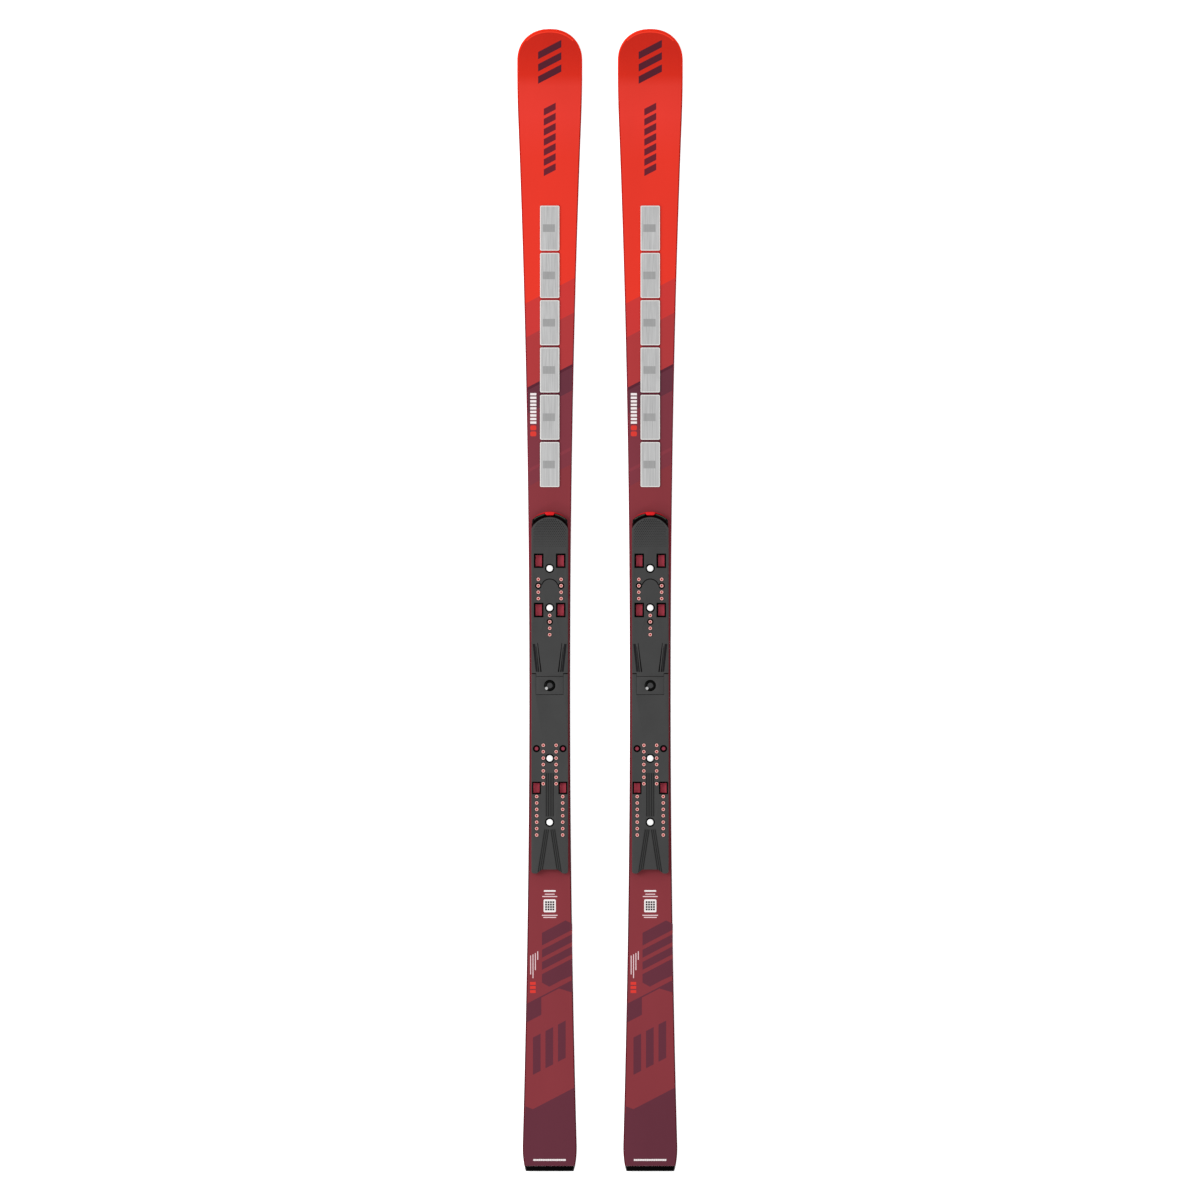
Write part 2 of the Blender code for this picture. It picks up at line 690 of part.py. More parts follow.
    def add_cap_and_bumper(self):
        bottom = DECK_Z + GAP
        outer = self.nose(CAP_OUTER_RADIUS, CAP_FRONT_REACH, CAP_HALF_WIDTH)
        inner_front = CAP_FRONT_REACH - CAP_WALL
        inner_half = CAP_HALF_WIDTH - CAP_FOOT_WIDTH
        inner = self.nose(CAP_INNER_RADIUS, inner_front, inner_half)
        foot = inner[0][1] - CAP_FOOT_LENGTH
        right_outer = [(CAP_HALF_WIDTH, outer[0][1]), *outer[1:-1]]
        right_inner = [(inner_half, inner[0][1]), *inner[1:-1]]
        loop = right_outer + [(0.0, outer[-1][1])] + [(-x, y) for x, y in reversed(right_outer)]
        loop += [(-CAP_HALF_WIDTH, foot), (-inner_half, foot)]
        loop += [(-x, y) for x, y in right_inner] + [(0.0, inner[-1][1])]
        loop += list(reversed(right_inner))
        loop += [(inner_half, foot), (CAP_HALF_WIDTH, foot)]
        cap = self.add("front_end_cap", slab(loop, bottom, PLATE_TOP_Z), "cap")
        notch = bmesh.new()
        rear = BOOT_Y + CAP_FRONT_REACH - BUMPER_LENGTH
        seat = bottom + BUMPER_SEAT_HEIGHT
        half = BUMPER_HALF_WIDTH + GAP
        add_box(notch, (-half, half), (rear, rear + 0.02), (seat, PLATE_TOP_Z + 0.001))
        cut(cap, self.add_cutter("cap_notch", notch))
        bumper = bmesh.new()
        half = BUMPER_HALF_WIDTH
        length = (BOOT_Y + inner_front, BOOT_Y + CAP_FRONT_REACH + 0.002)
        add_box(bumper, (-half, half), length, (seat + GAP, PLATE_TOP_Z))
        self.add("front_bumper", bumper, "bumper")

    # -- damping row

    def add_dampers(self):
        def surface_box(half, rear, front, low, steps):
            """A thin plate lying on the deck."""
            shape = bmesh.new()
            add_box(shape, (-half, half), (rear, front), (0.0, 1.0))
            along = [e for e in shape.edges if abs(e.verts[0].co.y - e.verts[1].co.y) > 0.001]
            bmesh.ops.subdivide_edges(shape, edges=along, cuts=steps - 1, use_grid_fill=True)
            for vert in shape.verts:
                height = low[0] if vert.co.z < 0.5 else low[1]
                vert.co.z = deck_z(vert.co.y) + height
            return shape

        last = DAMPER_START_Y + (DAMPER_COUNT - 1) * DAMPER_PITCH + DAMPER_LENGTH
        bed_height = (GAP, GAP + BED_THICKNESS)
        steps = 2 * DAMPER_COUNT
        bed = surface_box(BED_WIDTH / 2, DAMPER_START_Y, last, bed_height, steps)
        self.add("damper_bed", bed, "rubber")
        low = bed_height[1] + GAP
        for i in range(DAMPER_COUNT):
            rear = DAMPER_START_Y + i * DAMPER_PITCH
            height = (low, low + DAMPER_THICKNESS)
            shape = surface_box(DAMPER_WIDTH / 2, rear, rear + DAMPER_LENGTH, height, 2)
            self.add(f"damper_plate_{i + 1}", shape, "brushed")


def from_side(margin, first, rows):
    """A pair of insert columns that keeps its distance from the plate's sides."""
    return PLATE_HALF_WIDTH - margin, first, rows


def clear_scene():
    for obj in list(bpy.data.objects):
        bpy.data.objects.remove(obj)


def main():
    clear_scene()
    parts = bpy.data.collections.new("alpine_skis")
    cutters = bpy.data.collections.new("cutters")
    for collection in (parts, cutters):
        bpy.context.scene.collection.children.link(collection)
    finishes = {
        "base": make_material("black_running_base", srgb(24, 24, 26), 0.45),
        "steel": make_material("edge_steel", srgb(165, 167, 170), 0.3, 1.0),
        "alloy": make_material("core_alloy", srgb(190, 192, 196), 0.35, 1.0),
        "wood": make_material("poplar_core", srgb(206, 170, 118), 0.7),
        "sidewall": make_material("dark_red_sidewall", srgb(96, 36, 46), 0.45),
        "topsheet": make_material("red_topsheet", srgb(200, 52, 44), 0.3),
        "cap": make_material("black_cap", srgb(18, 16, 18), 0.4),
        "rubber": make_material("dark_elastomer", srgb(30, 30, 32), 0.8),
        "plate": make_material("charcoal_plate", srgb(68, 68, 68), 0.55),
        "white": make_material("white_screw_head", srgb(245, 245, 245), 0.4),
        "screw": make_material("glossy_black_screw", srgb(16, 16, 18), 0.2),
        "bumper": make_material("red_bumper", srgb(205, 28, 30), 0.4),
        "brushed": make_material("brushed_plate", srgb(187, 188, 189), 0.35, 1.0),
    }
    for side, sign in (("left", -1), ("right", 1)):
        Ski(side, sign, parts, cutters, finishes).build()


main()
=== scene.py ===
"""Finished looks of a pair of alpine race skis with their binding plates.

Each ski is drawn in its own coordinates: x across, y along from the tail end, z up from the
snow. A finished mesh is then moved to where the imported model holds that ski.
"""

import math

import bmesh
import bpy
from mathutils import Matrix, Vector


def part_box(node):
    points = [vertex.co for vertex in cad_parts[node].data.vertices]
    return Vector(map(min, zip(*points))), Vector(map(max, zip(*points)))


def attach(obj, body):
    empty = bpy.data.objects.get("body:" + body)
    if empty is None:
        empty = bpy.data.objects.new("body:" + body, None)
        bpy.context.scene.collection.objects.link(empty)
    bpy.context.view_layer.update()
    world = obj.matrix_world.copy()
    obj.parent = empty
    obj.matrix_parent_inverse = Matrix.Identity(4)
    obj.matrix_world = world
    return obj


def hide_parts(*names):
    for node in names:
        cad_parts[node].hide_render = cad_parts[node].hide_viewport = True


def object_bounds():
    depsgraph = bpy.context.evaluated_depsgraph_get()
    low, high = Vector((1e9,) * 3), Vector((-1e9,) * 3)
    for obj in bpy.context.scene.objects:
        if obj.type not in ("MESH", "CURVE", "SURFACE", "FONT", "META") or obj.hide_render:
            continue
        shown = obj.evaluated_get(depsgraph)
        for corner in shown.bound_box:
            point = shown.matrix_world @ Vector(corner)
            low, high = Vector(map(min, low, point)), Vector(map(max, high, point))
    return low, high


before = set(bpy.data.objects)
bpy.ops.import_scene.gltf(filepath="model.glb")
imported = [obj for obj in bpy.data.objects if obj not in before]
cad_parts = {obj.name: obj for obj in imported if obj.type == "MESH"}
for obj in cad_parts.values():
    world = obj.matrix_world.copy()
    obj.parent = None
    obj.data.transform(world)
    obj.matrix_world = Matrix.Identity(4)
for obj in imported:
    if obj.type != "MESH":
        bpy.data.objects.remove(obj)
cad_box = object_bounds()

TINY = 1e-6

# The ski's lines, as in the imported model
SKI_LENGTH = 1.870
TIP_WIDTH = 0.1064
WAIST_WIDTH = 0.0669
TAIL_WIDTH = 0.0886
TAIL_END_WIDTH = 0.0790
WAIST_BEHIND_MIDDLE = 0.165
WIDEST_FROM_TIP = 0.070
TIP_ROUND = 0.052
TIP_SQUARENESS = 2.15
TAIL_CORNER = 0.040
TAIL_CORNER_POWER = 2.2
FRONT_FLARE_POWER = 2.1
FRONT_FLARE_GAIN = 1.083
FRONT_FLARE_KNEE = 0.92
REAR_FLARE_POWER = 1.88
CAMBER = 0.005
TIP_RISE = 0.046
SHOVEL_LENGTH = 0.165
TAIL_RISE = 0.005
TAIL_RISE_LENGTH = 0.045
MIDDLE_THICKNESS = 0.017
TIP_THICKNESS = 0.0060
TAIL_THICKNESS = 0.0075
SIDE_SLANT = 0.0020
NOSE_SLANT_RATIO = 1.6

# Layers
SEAM = 0.00004  # glue line between two layers
BASE_THICKNESS = 0.0018
EDGE_WIDTH = 0.0020
METAL_THICKNESS = 0.0007
TOPSHEET_THICKNESS = 0.0008
SIDEWALL_WIDTH = 0.0070

# Prints on the topsheet
PRINT_LIFT = 0.00001
PRINT_THICKNESS = 0.00004
DIAGONAL = 0.52  # rise of the slanted colour fields for each unit to the right


def middle(low, high):
    return (low + high) / 2


def ski_origin(side):
    """Where a ski's own zero lies: on its centre line, at its tail end."""
    low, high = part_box(f"{side}_tail_protector")
    return Vector((middle(low.x, high.x), low.y, 0.0))


def ski_box(node):
    """A node's lowest and highest corner in the ski's own coordinates."""
    low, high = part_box(f"right_{node}")
    return low - ski_origin("right"), high - ski_origin("right")


TOE_LOW, TOE_HIGH = ski_box("toe_plate")
HEEL_LOW = ski_box("heel_plate")[0]
BRIDGE_LOW, BRIDGE_HIGH = ski_box("bridge")
CAP_LOW, CAP_HIGH = ski_box("front_end_cap")
CAP_RADIUS = CAP_HIGH.x + 0.014
CAP_CENTRE = (0.0, CAP_HIGH.y - CAP_RADIUS)
BUMPER_LOW, BUMPER_HIGH = ski_box("front_bumper")
BED_LOW, BED_HIGH = ski_box("damper_bed")
BOOT_Y = middle(*ski_box("centre_screw")).y
TAIL_PROTECTOR_LENGTH = ski_box("tail_protector")[1].y
CORE_END_Y = ski_box("wood_core")[1].y
CENTRE_HEAD_RADIUS = ski_box("centre_screw")[1].x
SCREW_HEAD_RADIUS = ski_box("toe_screw_front")[1].x
SCREW_FOOT_Z, SCREW_TOP_Z = (corner.z for corner in ski_box("toe_screw_front"))
PLATE_HALF_WIDTH = TOE_HIGH.x
PLATE_BOTTOM_Z = TOE_LOW.z
PLATE_TOP_Z = TOE_HIGH.z
DAMPERS = [ski_box(f"damper_plate_{i}") for i in range(1, 7)]

WAIST_Y = SKI_LENGTH / 2 - WAIST_BEHIND_MIDDLE
WIDEST_Y = SKI_LENGTH - WIDEST_FROM_TIP
TIP_CENTRE_Y = SKI_LENGTH - TIP_ROUND
CONTACT_FRONT_Y = SKI_LENGTH - SHOVEL_LENGTH
STRAIGHT_MARGIN = 0.020
STRAIGHT_START_Y = HEEL_LOW.y - STRAIGHT_MARGIN
STRAIGHT_END_Y = CAP_HIGH.y + STRAIGHT_MARGIN


# ---- the ski's lines ---------------------------------------------------------------------


def mix(start, end, share):
    return start + (end - start) * share


def smooth(share):
    """Rises from 0 to 1, level at both ends."""
    share = min(max(share, 0.0), 1.0)
    return share * share * (3 - 2 * share)


def even(start, end, steps):
    return [mix(start, end, i / steps) for i in range(steps)]


def front_flare(share):
    """How much of the tip's extra width is reached, from 0 at the waist to 1 at the widest."""
    if share <= FRONT_FLARE_KNEE:
        return FRONT_FLARE_GAIN * share**FRONT_FLARE_POWER
    start = FRONT_FLARE_GAIN * FRONT_FLARE_KNEE**FRONT_FLARE_POWER
    slope = FRONT_FLARE_GAIN * FRONT_FLARE_POWER * FRONT_FLARE_KNEE ** (FRONT_FLARE_POWER - 1)
    reach = 2 * (1 - start) / slope
    past = min((share - FRONT_FLARE_KNEE) / reach, 1.0)
    return start + (1 - start) * past * (2 - past)


def side_line(y):
    """Half the ski's width at y, before the ends are rounded."""
    if y >= WAIST_Y:
        share = (y - WAIST_Y) / (WIDEST_Y - WAIST_Y)
        return mix(WAIST_WIDTH, TIP_WIDTH, front_flare(share)) / 2
    share = min((WAIST_Y - y) / (WAIST_Y - TAIL_CORNER), 1.0)
    half = mix(WAIST_WIDTH, TAIL_WIDTH, share**REAR_FLARE_POWER) / 2
    if y < TAIL_CORNER:
        drawn_in = (TAIL_WIDTH - TAIL_END_WIDTH) / 2
        half -= drawn_in * (1 - y / TAIL_CORNER) ** TAIL_CORNER_POWER
    return half


def outline_point(y, inset):
    """(half width, y) on the outline drawn inset inside the edge, for the station y."""
    half = side_line(y) - inset
    if y <= TIP_CENTRE_Y:
        return half, y
    along = (y - TIP_CENTRE_Y) / TIP_ROUND
    half *= (1 - along**TIP_SQUARENESS) ** (1 / TIP_SQUARENESS)
    nose = TIP_ROUND - NOSE_SLANT_RATIO * inset
    return half, TIP_CENTRE_Y + (y - TIP_CENTRE_Y) * nose / TIP_ROUND


def base_z(y):
    """Height of the running surface: camber between the contact lines, and the raised ends."""
    if y < TAIL_RISE_LENGTH:
        return TAIL_RISE * (1 - y / TAIL_RISE_LENGTH) ** 2
    if y > CONTACT_FRONT_Y:
        return TIP_RISE * ((y - CONTACT_FRONT_Y) / SHOVEL_LENGTH) ** 2
    rear = smooth((y - TAIL_RISE_LENGTH) / (STRAIGHT_START_Y - TAIL_RISE_LENGTH))
    front = smooth((CONTACT_FRONT_Y - y) / (CONTACT_FRONT_Y - STRAIGHT_END_Y))
    return CAMBER * min(rear, front)


def thickness(y):
    if y < STRAIGHT_START_Y:
        share = (y - TAIL_RISE_LENGTH) / (STRAIGHT_START_Y - TAIL_RISE_LENGTH)
        return mix(TAIL_THICKNESS, MIDDLE_THICKNESS, smooth(share))
    share = (CONTACT_FRONT_Y - y) / (CONTACT_FRONT_Y - STRAIGHT_END_Y)
    return mix(TIP_THICKNESS, MIDDLE_THICKNESS, smooth(share))


def deck_z(y):
    """Height of the topsheet's upper face."""
    return base_z(y) + thickness(y)


def all_stations():
    """The places along the ski where every layer has a row of points."""
    ys = even(TAIL_PROTECTOR_LENGTH + SEAM, TAIL_RISE_LENGTH, 10)
    ys += even(TAIL_RISE_LENGTH, STRAIGHT_START_Y, 40)
    ys += even(STRAIGHT_START_Y, STRAIGHT_END_Y, 16)
    ys += even(STRAIGHT_END_Y, CONTACT_FRONT_Y, 44)
    ys += even(CONTACT_FRONT_Y, TIP_CENTRE_Y, 24)
    for degrees in (*range(0, 87, 3), 87.5, 89.3):
        rounded = math.sin(math.radians(degrees)) ** (2 / TIP_SQUARENESS)
        ys.append(TIP_CENTRE_Y + TIP_ROUND * rounded)
    return ys


STATIONS = all_stations()


def stations_between(start, end):
    inner = [y for y in STATIONS if start + 0.0005 < y < end - 0.0005]
    return [start, *inner, end]


# ---- materials ---------------------------------------------------------------------------


def srgb(code):
    """A colour given as six hex digits, as Blender's linear values."""
    shares = [int(code[i : i + 2], 16) / 255 for i in (0, 2, 4)]
    linear = [s / 12.92 if s <= 0.04045 else ((s + 0.055) / 1.055) ** 2.4 for s in shares]
    return (*linear, 1.0)


class Finish:
    """A material under construction: a Principled shader and the nodes that feed it."""

    def __init__(self, name, roughness, metallic=0.0, coat=0.0, specular=0.5):
        self.material = bpy.data.materials.new(name)
        self.material.use_nodes = True
        self.tree = self.material.node_tree
        self.shader = self.tree.nodes["Principled BSDF"]
        self.shader.inputs["Roughness"].default_value = roughness
        self.shader.inputs["Metallic"].default_value = metallic
        self.shader.inputs["Coat Weight"].default_value = coat
        self.shader.inputs["Coat Roughness"].default_value = 0.12
        self.shader.inputs["Specular IOR Level"].default_value = specular

    def node(self, kind, **constants):
        """A new node; a constant's name is its input's name, with _ for each space."""
        node = self.tree.nodes.new(f"ShaderNode{kind}")
        for name, value in constants.items():
            node.inputs[name.replace("_", " ")].default_value = value
        return node

    def feed(self, target, **sources):
        """Links an output to each named input of a node, and returns the node's outputs."""
        for name, source in sources.items():
            self.tree.links.new(source, target.inputs[name.replace("_", " ")])
        return target.outputs

    def place(self, scale=(1.0, 1.0, 1.0)):
        """Places on the object, in metres times scale."""
        coordinates = self.node("TexCoord").outputs["Object"]
        return self.feed(self.node("Mapping", Scale=scale), Vector=coordinates)["Vector"]

    def noise(self, scale, stretch=(1.0, 1.0, 1.0), detail=3.0):
        texture = self.node("TexNoise", Scale=scale, Detail=detail)
        return self.feed(texture, Vector=self.place(stretch))["Fac"]

    def along(self, start, end):
        """Runs from 0 to 1 between two places along the ski, given from its tail end."""
        across = self.feed(self.node("SeparateXYZ"), Vector=self.place())
        tail_y = ski_origin("right").y
        span = self.node("MapRange", From_Min=tail_y + start, From_Max=tail_y + end)
        return self.feed(span, Value=across["Y"])["Result"]

    def ramp(self, value, *stops):
        """Colours at shares of value: (share, colour) pairs."""
        ramp = self.node("ValToRGB")
        elements = ramp.color_ramp.elements
        while len(elements) < len(stops):
            elements.new(0.5)
        for element, (share, colour) in zip(elements, stops):
            element.position = share
            element.color = colour
        return self.feed(ramp, Fac=value)["Color"]

    def shade(self, colour, value, darkest, lightest):
        """Multiplies a colour, a socket or a plain one, by a grey that follows value."""
        grey = self.ramp(value, (0.3, (darkest,) * 3 + (1.0,)), (0.7, (lightest,) * 3 + (1.0,)))
        node = self.node("Mix")
        node.data_type = "RGBA"
        node.blend_type = "MULTIPLY"
        share, first, second = node.inputs[0], node.inputs[6], node.inputs[7]
        share.default_value = 1.0
        if isinstance(colour, bpy.types.NodeSocket):
            self.tree.links.new(colour, first)
        else:
            first.default_value = colour
        self.tree.links.new(grey, second)
        return node.outputs[2]

    def colour(self, socket):
        self.feed(self.shader, Base_Color=socket)

    def uneven_gloss(self, value, low, high):
        span = self.node("MapRange", To_Min=low, To_Max=high)
        self.feed(self.shader, Roughness=self.feed(span, Value=value)["Result"])

    def relief(self, value, height, strength=0.5):
        bump = self.node("Bump", Strength=strength, Distance=height)
        self.feed(self.shader, Normal=self.feed(bump, Height=value)["Normal"])


def lacquer(name, *stops, start=0.0, end=SKI_LENGTH):
    """Printed topsheet under satin lacquer, its colour running along the ski."""
    finish = Finish(name, 0.42, specular=0.06)
    colours = [(share, srgb(code)) for share, code in stops]
    if len(colours) == 1:
        colours.append((1.0, colours[0][1]))
    base = finish.ramp(finish.along(start, end), *colours)
    clouds = finish.noise(14.0, (1.0, 0.3, 1.0))
    finish.colour(finish.shade(base, clouds, 0.97, 1.03))
    grain = finish.noise(2600.0, (1.0, 0.25, 1.0), 2.0)
    finish.uneven_gloss(grain, 0.36, 0.48)
    finish.relief(grain, 0.00002, 0.25)
    return finish.material


def moulded(name, code, roughness, grain_size=1800.0, coat=0.0, contrast=0.08, specular=0.12):
    """Moulded plastic or rubber with a fine spark-eroded grain."""
    finish = Finish(name, roughness, coat=coat, specular=specular)
    grain = finish.noise(grain_size, detail=4.0)
    clouds = finish.noise(30.0)
    tone = finish.shade(srgb(code), grain, 1.0 - contrast, 1.0 + contrast)
    finish.colour(finish.shade(tone, clouds, 0.96, 1.04))
    finish.uneven_gloss(grain, roughness - 0.06, roughness + 0.08)
    finish.relief(grain, 0.00004, 0.35)
    return finish.material


def lined_metal(name, dark, light, roughness, metallic, lines=1400.0):
    """Metal with fine polishing lines along the ski."""
    finish = Finish(name, roughness, metallic=metallic, specular=0.3)
    streaks = finish.noise(lines, (1.0, 0.012, 1.0), 4.0)
    finish.colour(finish.ramp(streaks, (0.3, srgb(dark)), (0.7, srgb(light))))
    finish.uneven_gloss(streaks, roughness - 0.08, roughness + 0.1)
    finish.relief(streaks, 0.00002, 0.3)
    return finish.material


def poplar(name):
    finish = Finish(name, 0.65)
    grain = finish.noise(90.0, (1.0, 0.03, 1.0), 6.0)
    finish.colour(finish.ramp(grain, (0.3, srgb("b98f5c")), (0.7, srgb("dcb987"))))
    finish.relief(grain, 0.0001, 0.3)
    return finish.material


def ground_base(name):
    """Sintered running base: black, waxed, with a fine grind along the ski."""
    finish = Finish(name, 0.4, specular=0.4)
    grind = finish.noise(1200.0, (1.0, 0.02, 1.0), 3.0)
    wax = finish.noise(9.0, (1.0, 0.2, 1.0))
    tone = finish.ramp(grind, (0.35, srgb("131315")), (0.65, srgb("232326")))
    finish.colour(finish.shade(tone, wax, 0.9, 1.12))
    finish.uneven_gloss(wax, 0.32, 0.48)
    finish.relief(grind, 0.00005, 0.4)
    return finish.material


def side_plastic_and_painted_light(name):
    """Sidewall plastic, red at the shovel and burgundy further back, scraped along the ski;
    darkened as painted shade, and brightened near the tip as a painted highlight.
    """
    finish = Finish(name, 0.42, specular=0.0)
    stops = [(0.0, "52161f"), (0.1, "6e1e2c"), (0.42, "6e1e2c"), (0.5, "7c1e22"), (0.6, "a81f16")]
    stops += [(0.86, "ac1c0e"), (0.95, "ee2f1a"), (1.0, "ff3820")]
    stops = [(share, srgb(code)) for share, code in stops]
    base = finish.ramp(finish.along(0.9, SKI_LENGTH), *stops)
    scrape = finish.noise(900.0, (1.0, 0.02, 1.0))
    finish.colour(finish.shade(base, scrape, 0.9, 1.08))
    finish.relief(scrape, 0.00003, 0.3)
    return finish.material


def damper_bed_with_painted_shade(name):
    """The damper bed, in the colours of the topsheet round it, darkened as painted shade between
    the damper plates.
    """
    finish = Finish(name, 0.5, specular=0.15)
    stops = [(0.0, "66242f"), (0.2, "561d29"), (0.42, "5a1b28"), (0.6, "8c2a30"), (0.75, "ad2f2c")]
    stops = [(share, srgb(code)) for share, code in [*stops, (1.0, "c62c24")]]
    base = finish.ramp(finish.along(BED_LOW.y, BED_HIGH.y), *stops)
    grain = finish.noise(1500.0)
    finish.colour(finish.shade(base, grain, 0.94, 1.06))
    finish.relief(grain, 0.00003, 0.3)
    return finish.material


LACQUERS = {
    "second_red": "cd3937",
    "crimson": "b13a3c",
    "dark_line": "5a2634",
    "dark_maroon": "67323f",
    "wine": "7f3742",
    "light_wine": "893a45",
    "burgundy": "88373e",
    "tail_maroon": "64303d",
}
PRINTS = {
    "white_print": "f4ecec",
    "red_print": "dd3c34",
    "grey_print": "2c282a",
    "fine_print": "ecd0d4",
    "tip_print": "54202d",
    "bar_print": "6c2430",
    # painted shade under the race plate and its end cap
    "plate_shade_print": "1c0509",
    # painted highlight along the rounded tip
    "nose_highlight_print": "f83a26",
    # painted light: brighter red under the plate's windows, lifting the shade in them
    "window_light_print": "f45c70",
}
# The tip field's red along the ski, darkened over its last stretch as painted shade where the
# shovel curves up
TIP_RED_AND_SHADE = ((0.0, "ea392a"), (0.55, "e93829"), (0.7, "e93c31"), (0.8, "e23a2e"), (0.84, "d62c1c"))
TIP_RED_AND_SHADE += ((0.93, "ca2719"), (1.0, "c52618"))
# Painted highlight in front of the end cap, brightest at its front and fading to the sides
CAP_FRONT_HIGHLIGHT = ((0.0, "8c3540"), (0.6, "ac2f38"), (1.0, "e01f28"))
# Painted shadow beside the damper bed, along the ski: darker where the topsheet is darker
PAINTED_SHADOW = ((0.0, "64222e"), (0.29, "5e202c"), (0.42, "521d29"), (0.445, "8e2c2e"))
PAINTED_SHADOW += ((0.65, "a52d2c"), (0.72, "bf3029"), (1.0, "cc3227"))

FINISHES = {name: lacquer(f"{name}_lacquer", (0.0, code)) for name, code in LACQUERS.items()}
FINISHES |= {name: lacquer(name, (0.0, code)) for name, code in PRINTS.items()}
FINISHES |= {
    "tip_red_and_painted_shade": lacquer("tip_red_painted_shade_lacquer", *TIP_RED_AND_SHADE, start=1.40),
    "cap_front_highlight_print": lacquer(
        "cap_front_highlight_print", *CAP_FRONT_HIGHLIGHT, start=CAP_HIGH.y - 0.0110, end=CAP_HIGH.y - 0.0005
    ),
    "painted_shadow_print": lacquer("painted_shadow_print", *PAINTED_SHADOW, start=BED_LOW.y, end=BED_HIGH.y),
    "plate": moulded("charcoal_plate", "424242", 0.5),
    "band": moulded("plate_band", "393939", 0.6),
    # painted shade in the plate's grooves and grip dimples
    "groove_shade": moulded("plate_groove_painted_shade", "151615", 0.6),
    # painted shade: near-black, almost without gloss, on the cut faces of the plate's holes,
    # recesses and window rims
    "recess": moulded("black_recess", "020202", 0.7, specular=0.02),
    # painted shade in the wide shallow wedges of the toe half
    "wedge_shade": moulded("wedge_recess", "1b1b1d", 0.6),
    "cap": moulded("black_end_cap", "040304", 0.3, specular=0.1),
    # painted highlight on the end cap's arches
    "cap_highlight": moulded("cap_highlight_strip", "565a4c", 0.4),
    "tail_cap": moulded("black_tail_protector", "030102", 0.4, specular=0.03),
    "bumper": moulded("red_bumper", "e0181c", 0.4, coat=0.05),
    "elastomer": moulded("dark_elastomer", "1e1e20", 0.75),
    "bush": moulded("pink_insert_bush", "f4bab4", 0.45, contrast=0.04),
    "insert_core": moulded("red_insert_core", "a80c18", 0.45),
    "side_plug": moulded("side_insert_plug", "943a4c", 0.45),
    "white_head": moulded("white_screw_head", "ffffff", 0.4, contrast=0.01),
    "centre_ring": moulded("glossy_black_screw", "020202", 0.25, contrast=0.02, specular=0.08),
    # painted glint on the centre screw's ring
    "glint_pin": lined_metal("glint_pin", "b0b0b0", "cccccc", 0.5, 0.1, 700.0),
    "centre_face": moulded("grey_screw_face", "424243", 0.45),
    "damper": lined_metal("brushed_damper_plate", "b0b0b0", "c9c9c9", 0.5, 0.08, 650.0),
    # a lighter rim round each damper plate
    "damper_rim": lined_metal("lighter_damper_rim", "e2e2e0", "efefec", 0.4, 0.05),
    "damper_patch": lined_metal("etched_damper_patch", "999999", "a6a6a6", 0.55, 0.05, 700.0),
    "steel": lined_metal("ground_edge_steel", "8f9194", "c3c5c8", 0.28, 1.0, 2200.0),
    "alloy": lined_metal("core_alloy", "a5a7aa", "c9cbce", 0.35, 1.0),
    "wood": poplar("poplar_core"),
    "base": ground_base("waxed_running_base"),
    "side": side_plastic_and_painted_light("sidewall_plastic_painted_light"),
    "bed": damper_bed_with_painted_shade("damper_bed_painted_shade"),
}


# ---- building blocks ---------------------------------------------------------------------


def bent_box(stations, side_inset, bottom, top):
    """A box cut across at each station and bent to the ski's lines.

    side_inset(x_side, up) gives (sign of x, inset from the edge) for each long edge;
    bottom(y) and top(y) are heights.
    """
    shape = bmesh.new()
    bmesh.ops.create_cube(shape, size=1.0)
    long_edges = [e for e in shape.edges if abs(e.verts[0].co.y - e.verts[1].co.y) > 0.5]
    cuts = len(stations) - 2
    bmesh.ops.subdivide_edges(shape, edges=long_edges, cuts=cuts, use_grid_fill=True)
    for vert in shape.verts:
        station = stations[round((vert.co.y + 0.5) * (len(stations) - 1))]
        up = vert.co.z + 0.5
        sign, inset = side_inset(vert.co.x > 0, up)
        half, y = outline_point(station, inset)
        vert.co = (sign * half, y, mix(bottom(y), top(y), up))
    bmesh.ops.recalc_face_normals(shape, faces=shape.faces)
    return shape


def both_sides(low, high):
    return lambda on_right, up: ((1 if on_right else -1), mix(low, high, up))


def one_side(sign, outer_low, outer_high, inner):
    """Insets of a strip along one side of the ski."""

    def inset(on_right, up):
        outer = on_right == (sign > 0)
        return sign, mix(outer_low, outer_high, up) if outer else inner

    return inset


def above_base(height):
    return lambda y: base_z(y) + height


def below_deck(depth):
    return lambda y: deck_z(y) - depth


def raise_faces(shape, height):
    """Gives the flat faces of a shape a thickness, upwards, and returns the new upper points."""
    raised = bmesh.ops.extrude_face_region(shape, geom=shape.faces[:])
    upper = [part for part in raised["geom"] if isinstance(part, bmesh.types.BMVert)]
    bmesh.ops.translate(shape, verts=upper, vec=(0, 0, height))
    bmesh.ops.recalc_face_normals(shape, faces=shape.faces)
    return upper


def slab(outlines, bottom, top):
    """Flat outlines of (x, y) points given a thickness."""
    shape = bmesh.new()
    for points in outlines:
        shape.faces.new([shape.verts.new((x, y, bottom)) for x, y in points])
    raise_faces(shape, top - bottom)
    return shape


def draped(outlines, low, high):
    """Flat outlines laid along the topsheet, between two heights above it."""
    shape = bmesh.new()
    for points in outlines:
        shape.faces.new([shape.verts.new((x, y, 0.0)) for x, y in points])
    ys = [vert.co.y for vert in shape.verts]
    for station in STATIONS:
        across = outline_point(station, SIDE_SLANT)[1]
        if min(ys) + TINY < across < max(ys) - TINY:
            cut_across(shape, (0, across, 0), (0, 1, 0))
    upper = set(raise_faces(shape, high - low))
    for vert in shape.verts:
        vert.co.z = deck_z(vert.co.y) + (high if vert in upper else low)
    return shape


def cut_across(shape, point, normal):
    geometry = shape.verts[:] + shape.edges[:] + shape.faces[:]
    bmesh.ops.bisect_plane(shape, geom=geometry, dist=TINY, plane_co=point, plane_no=normal)


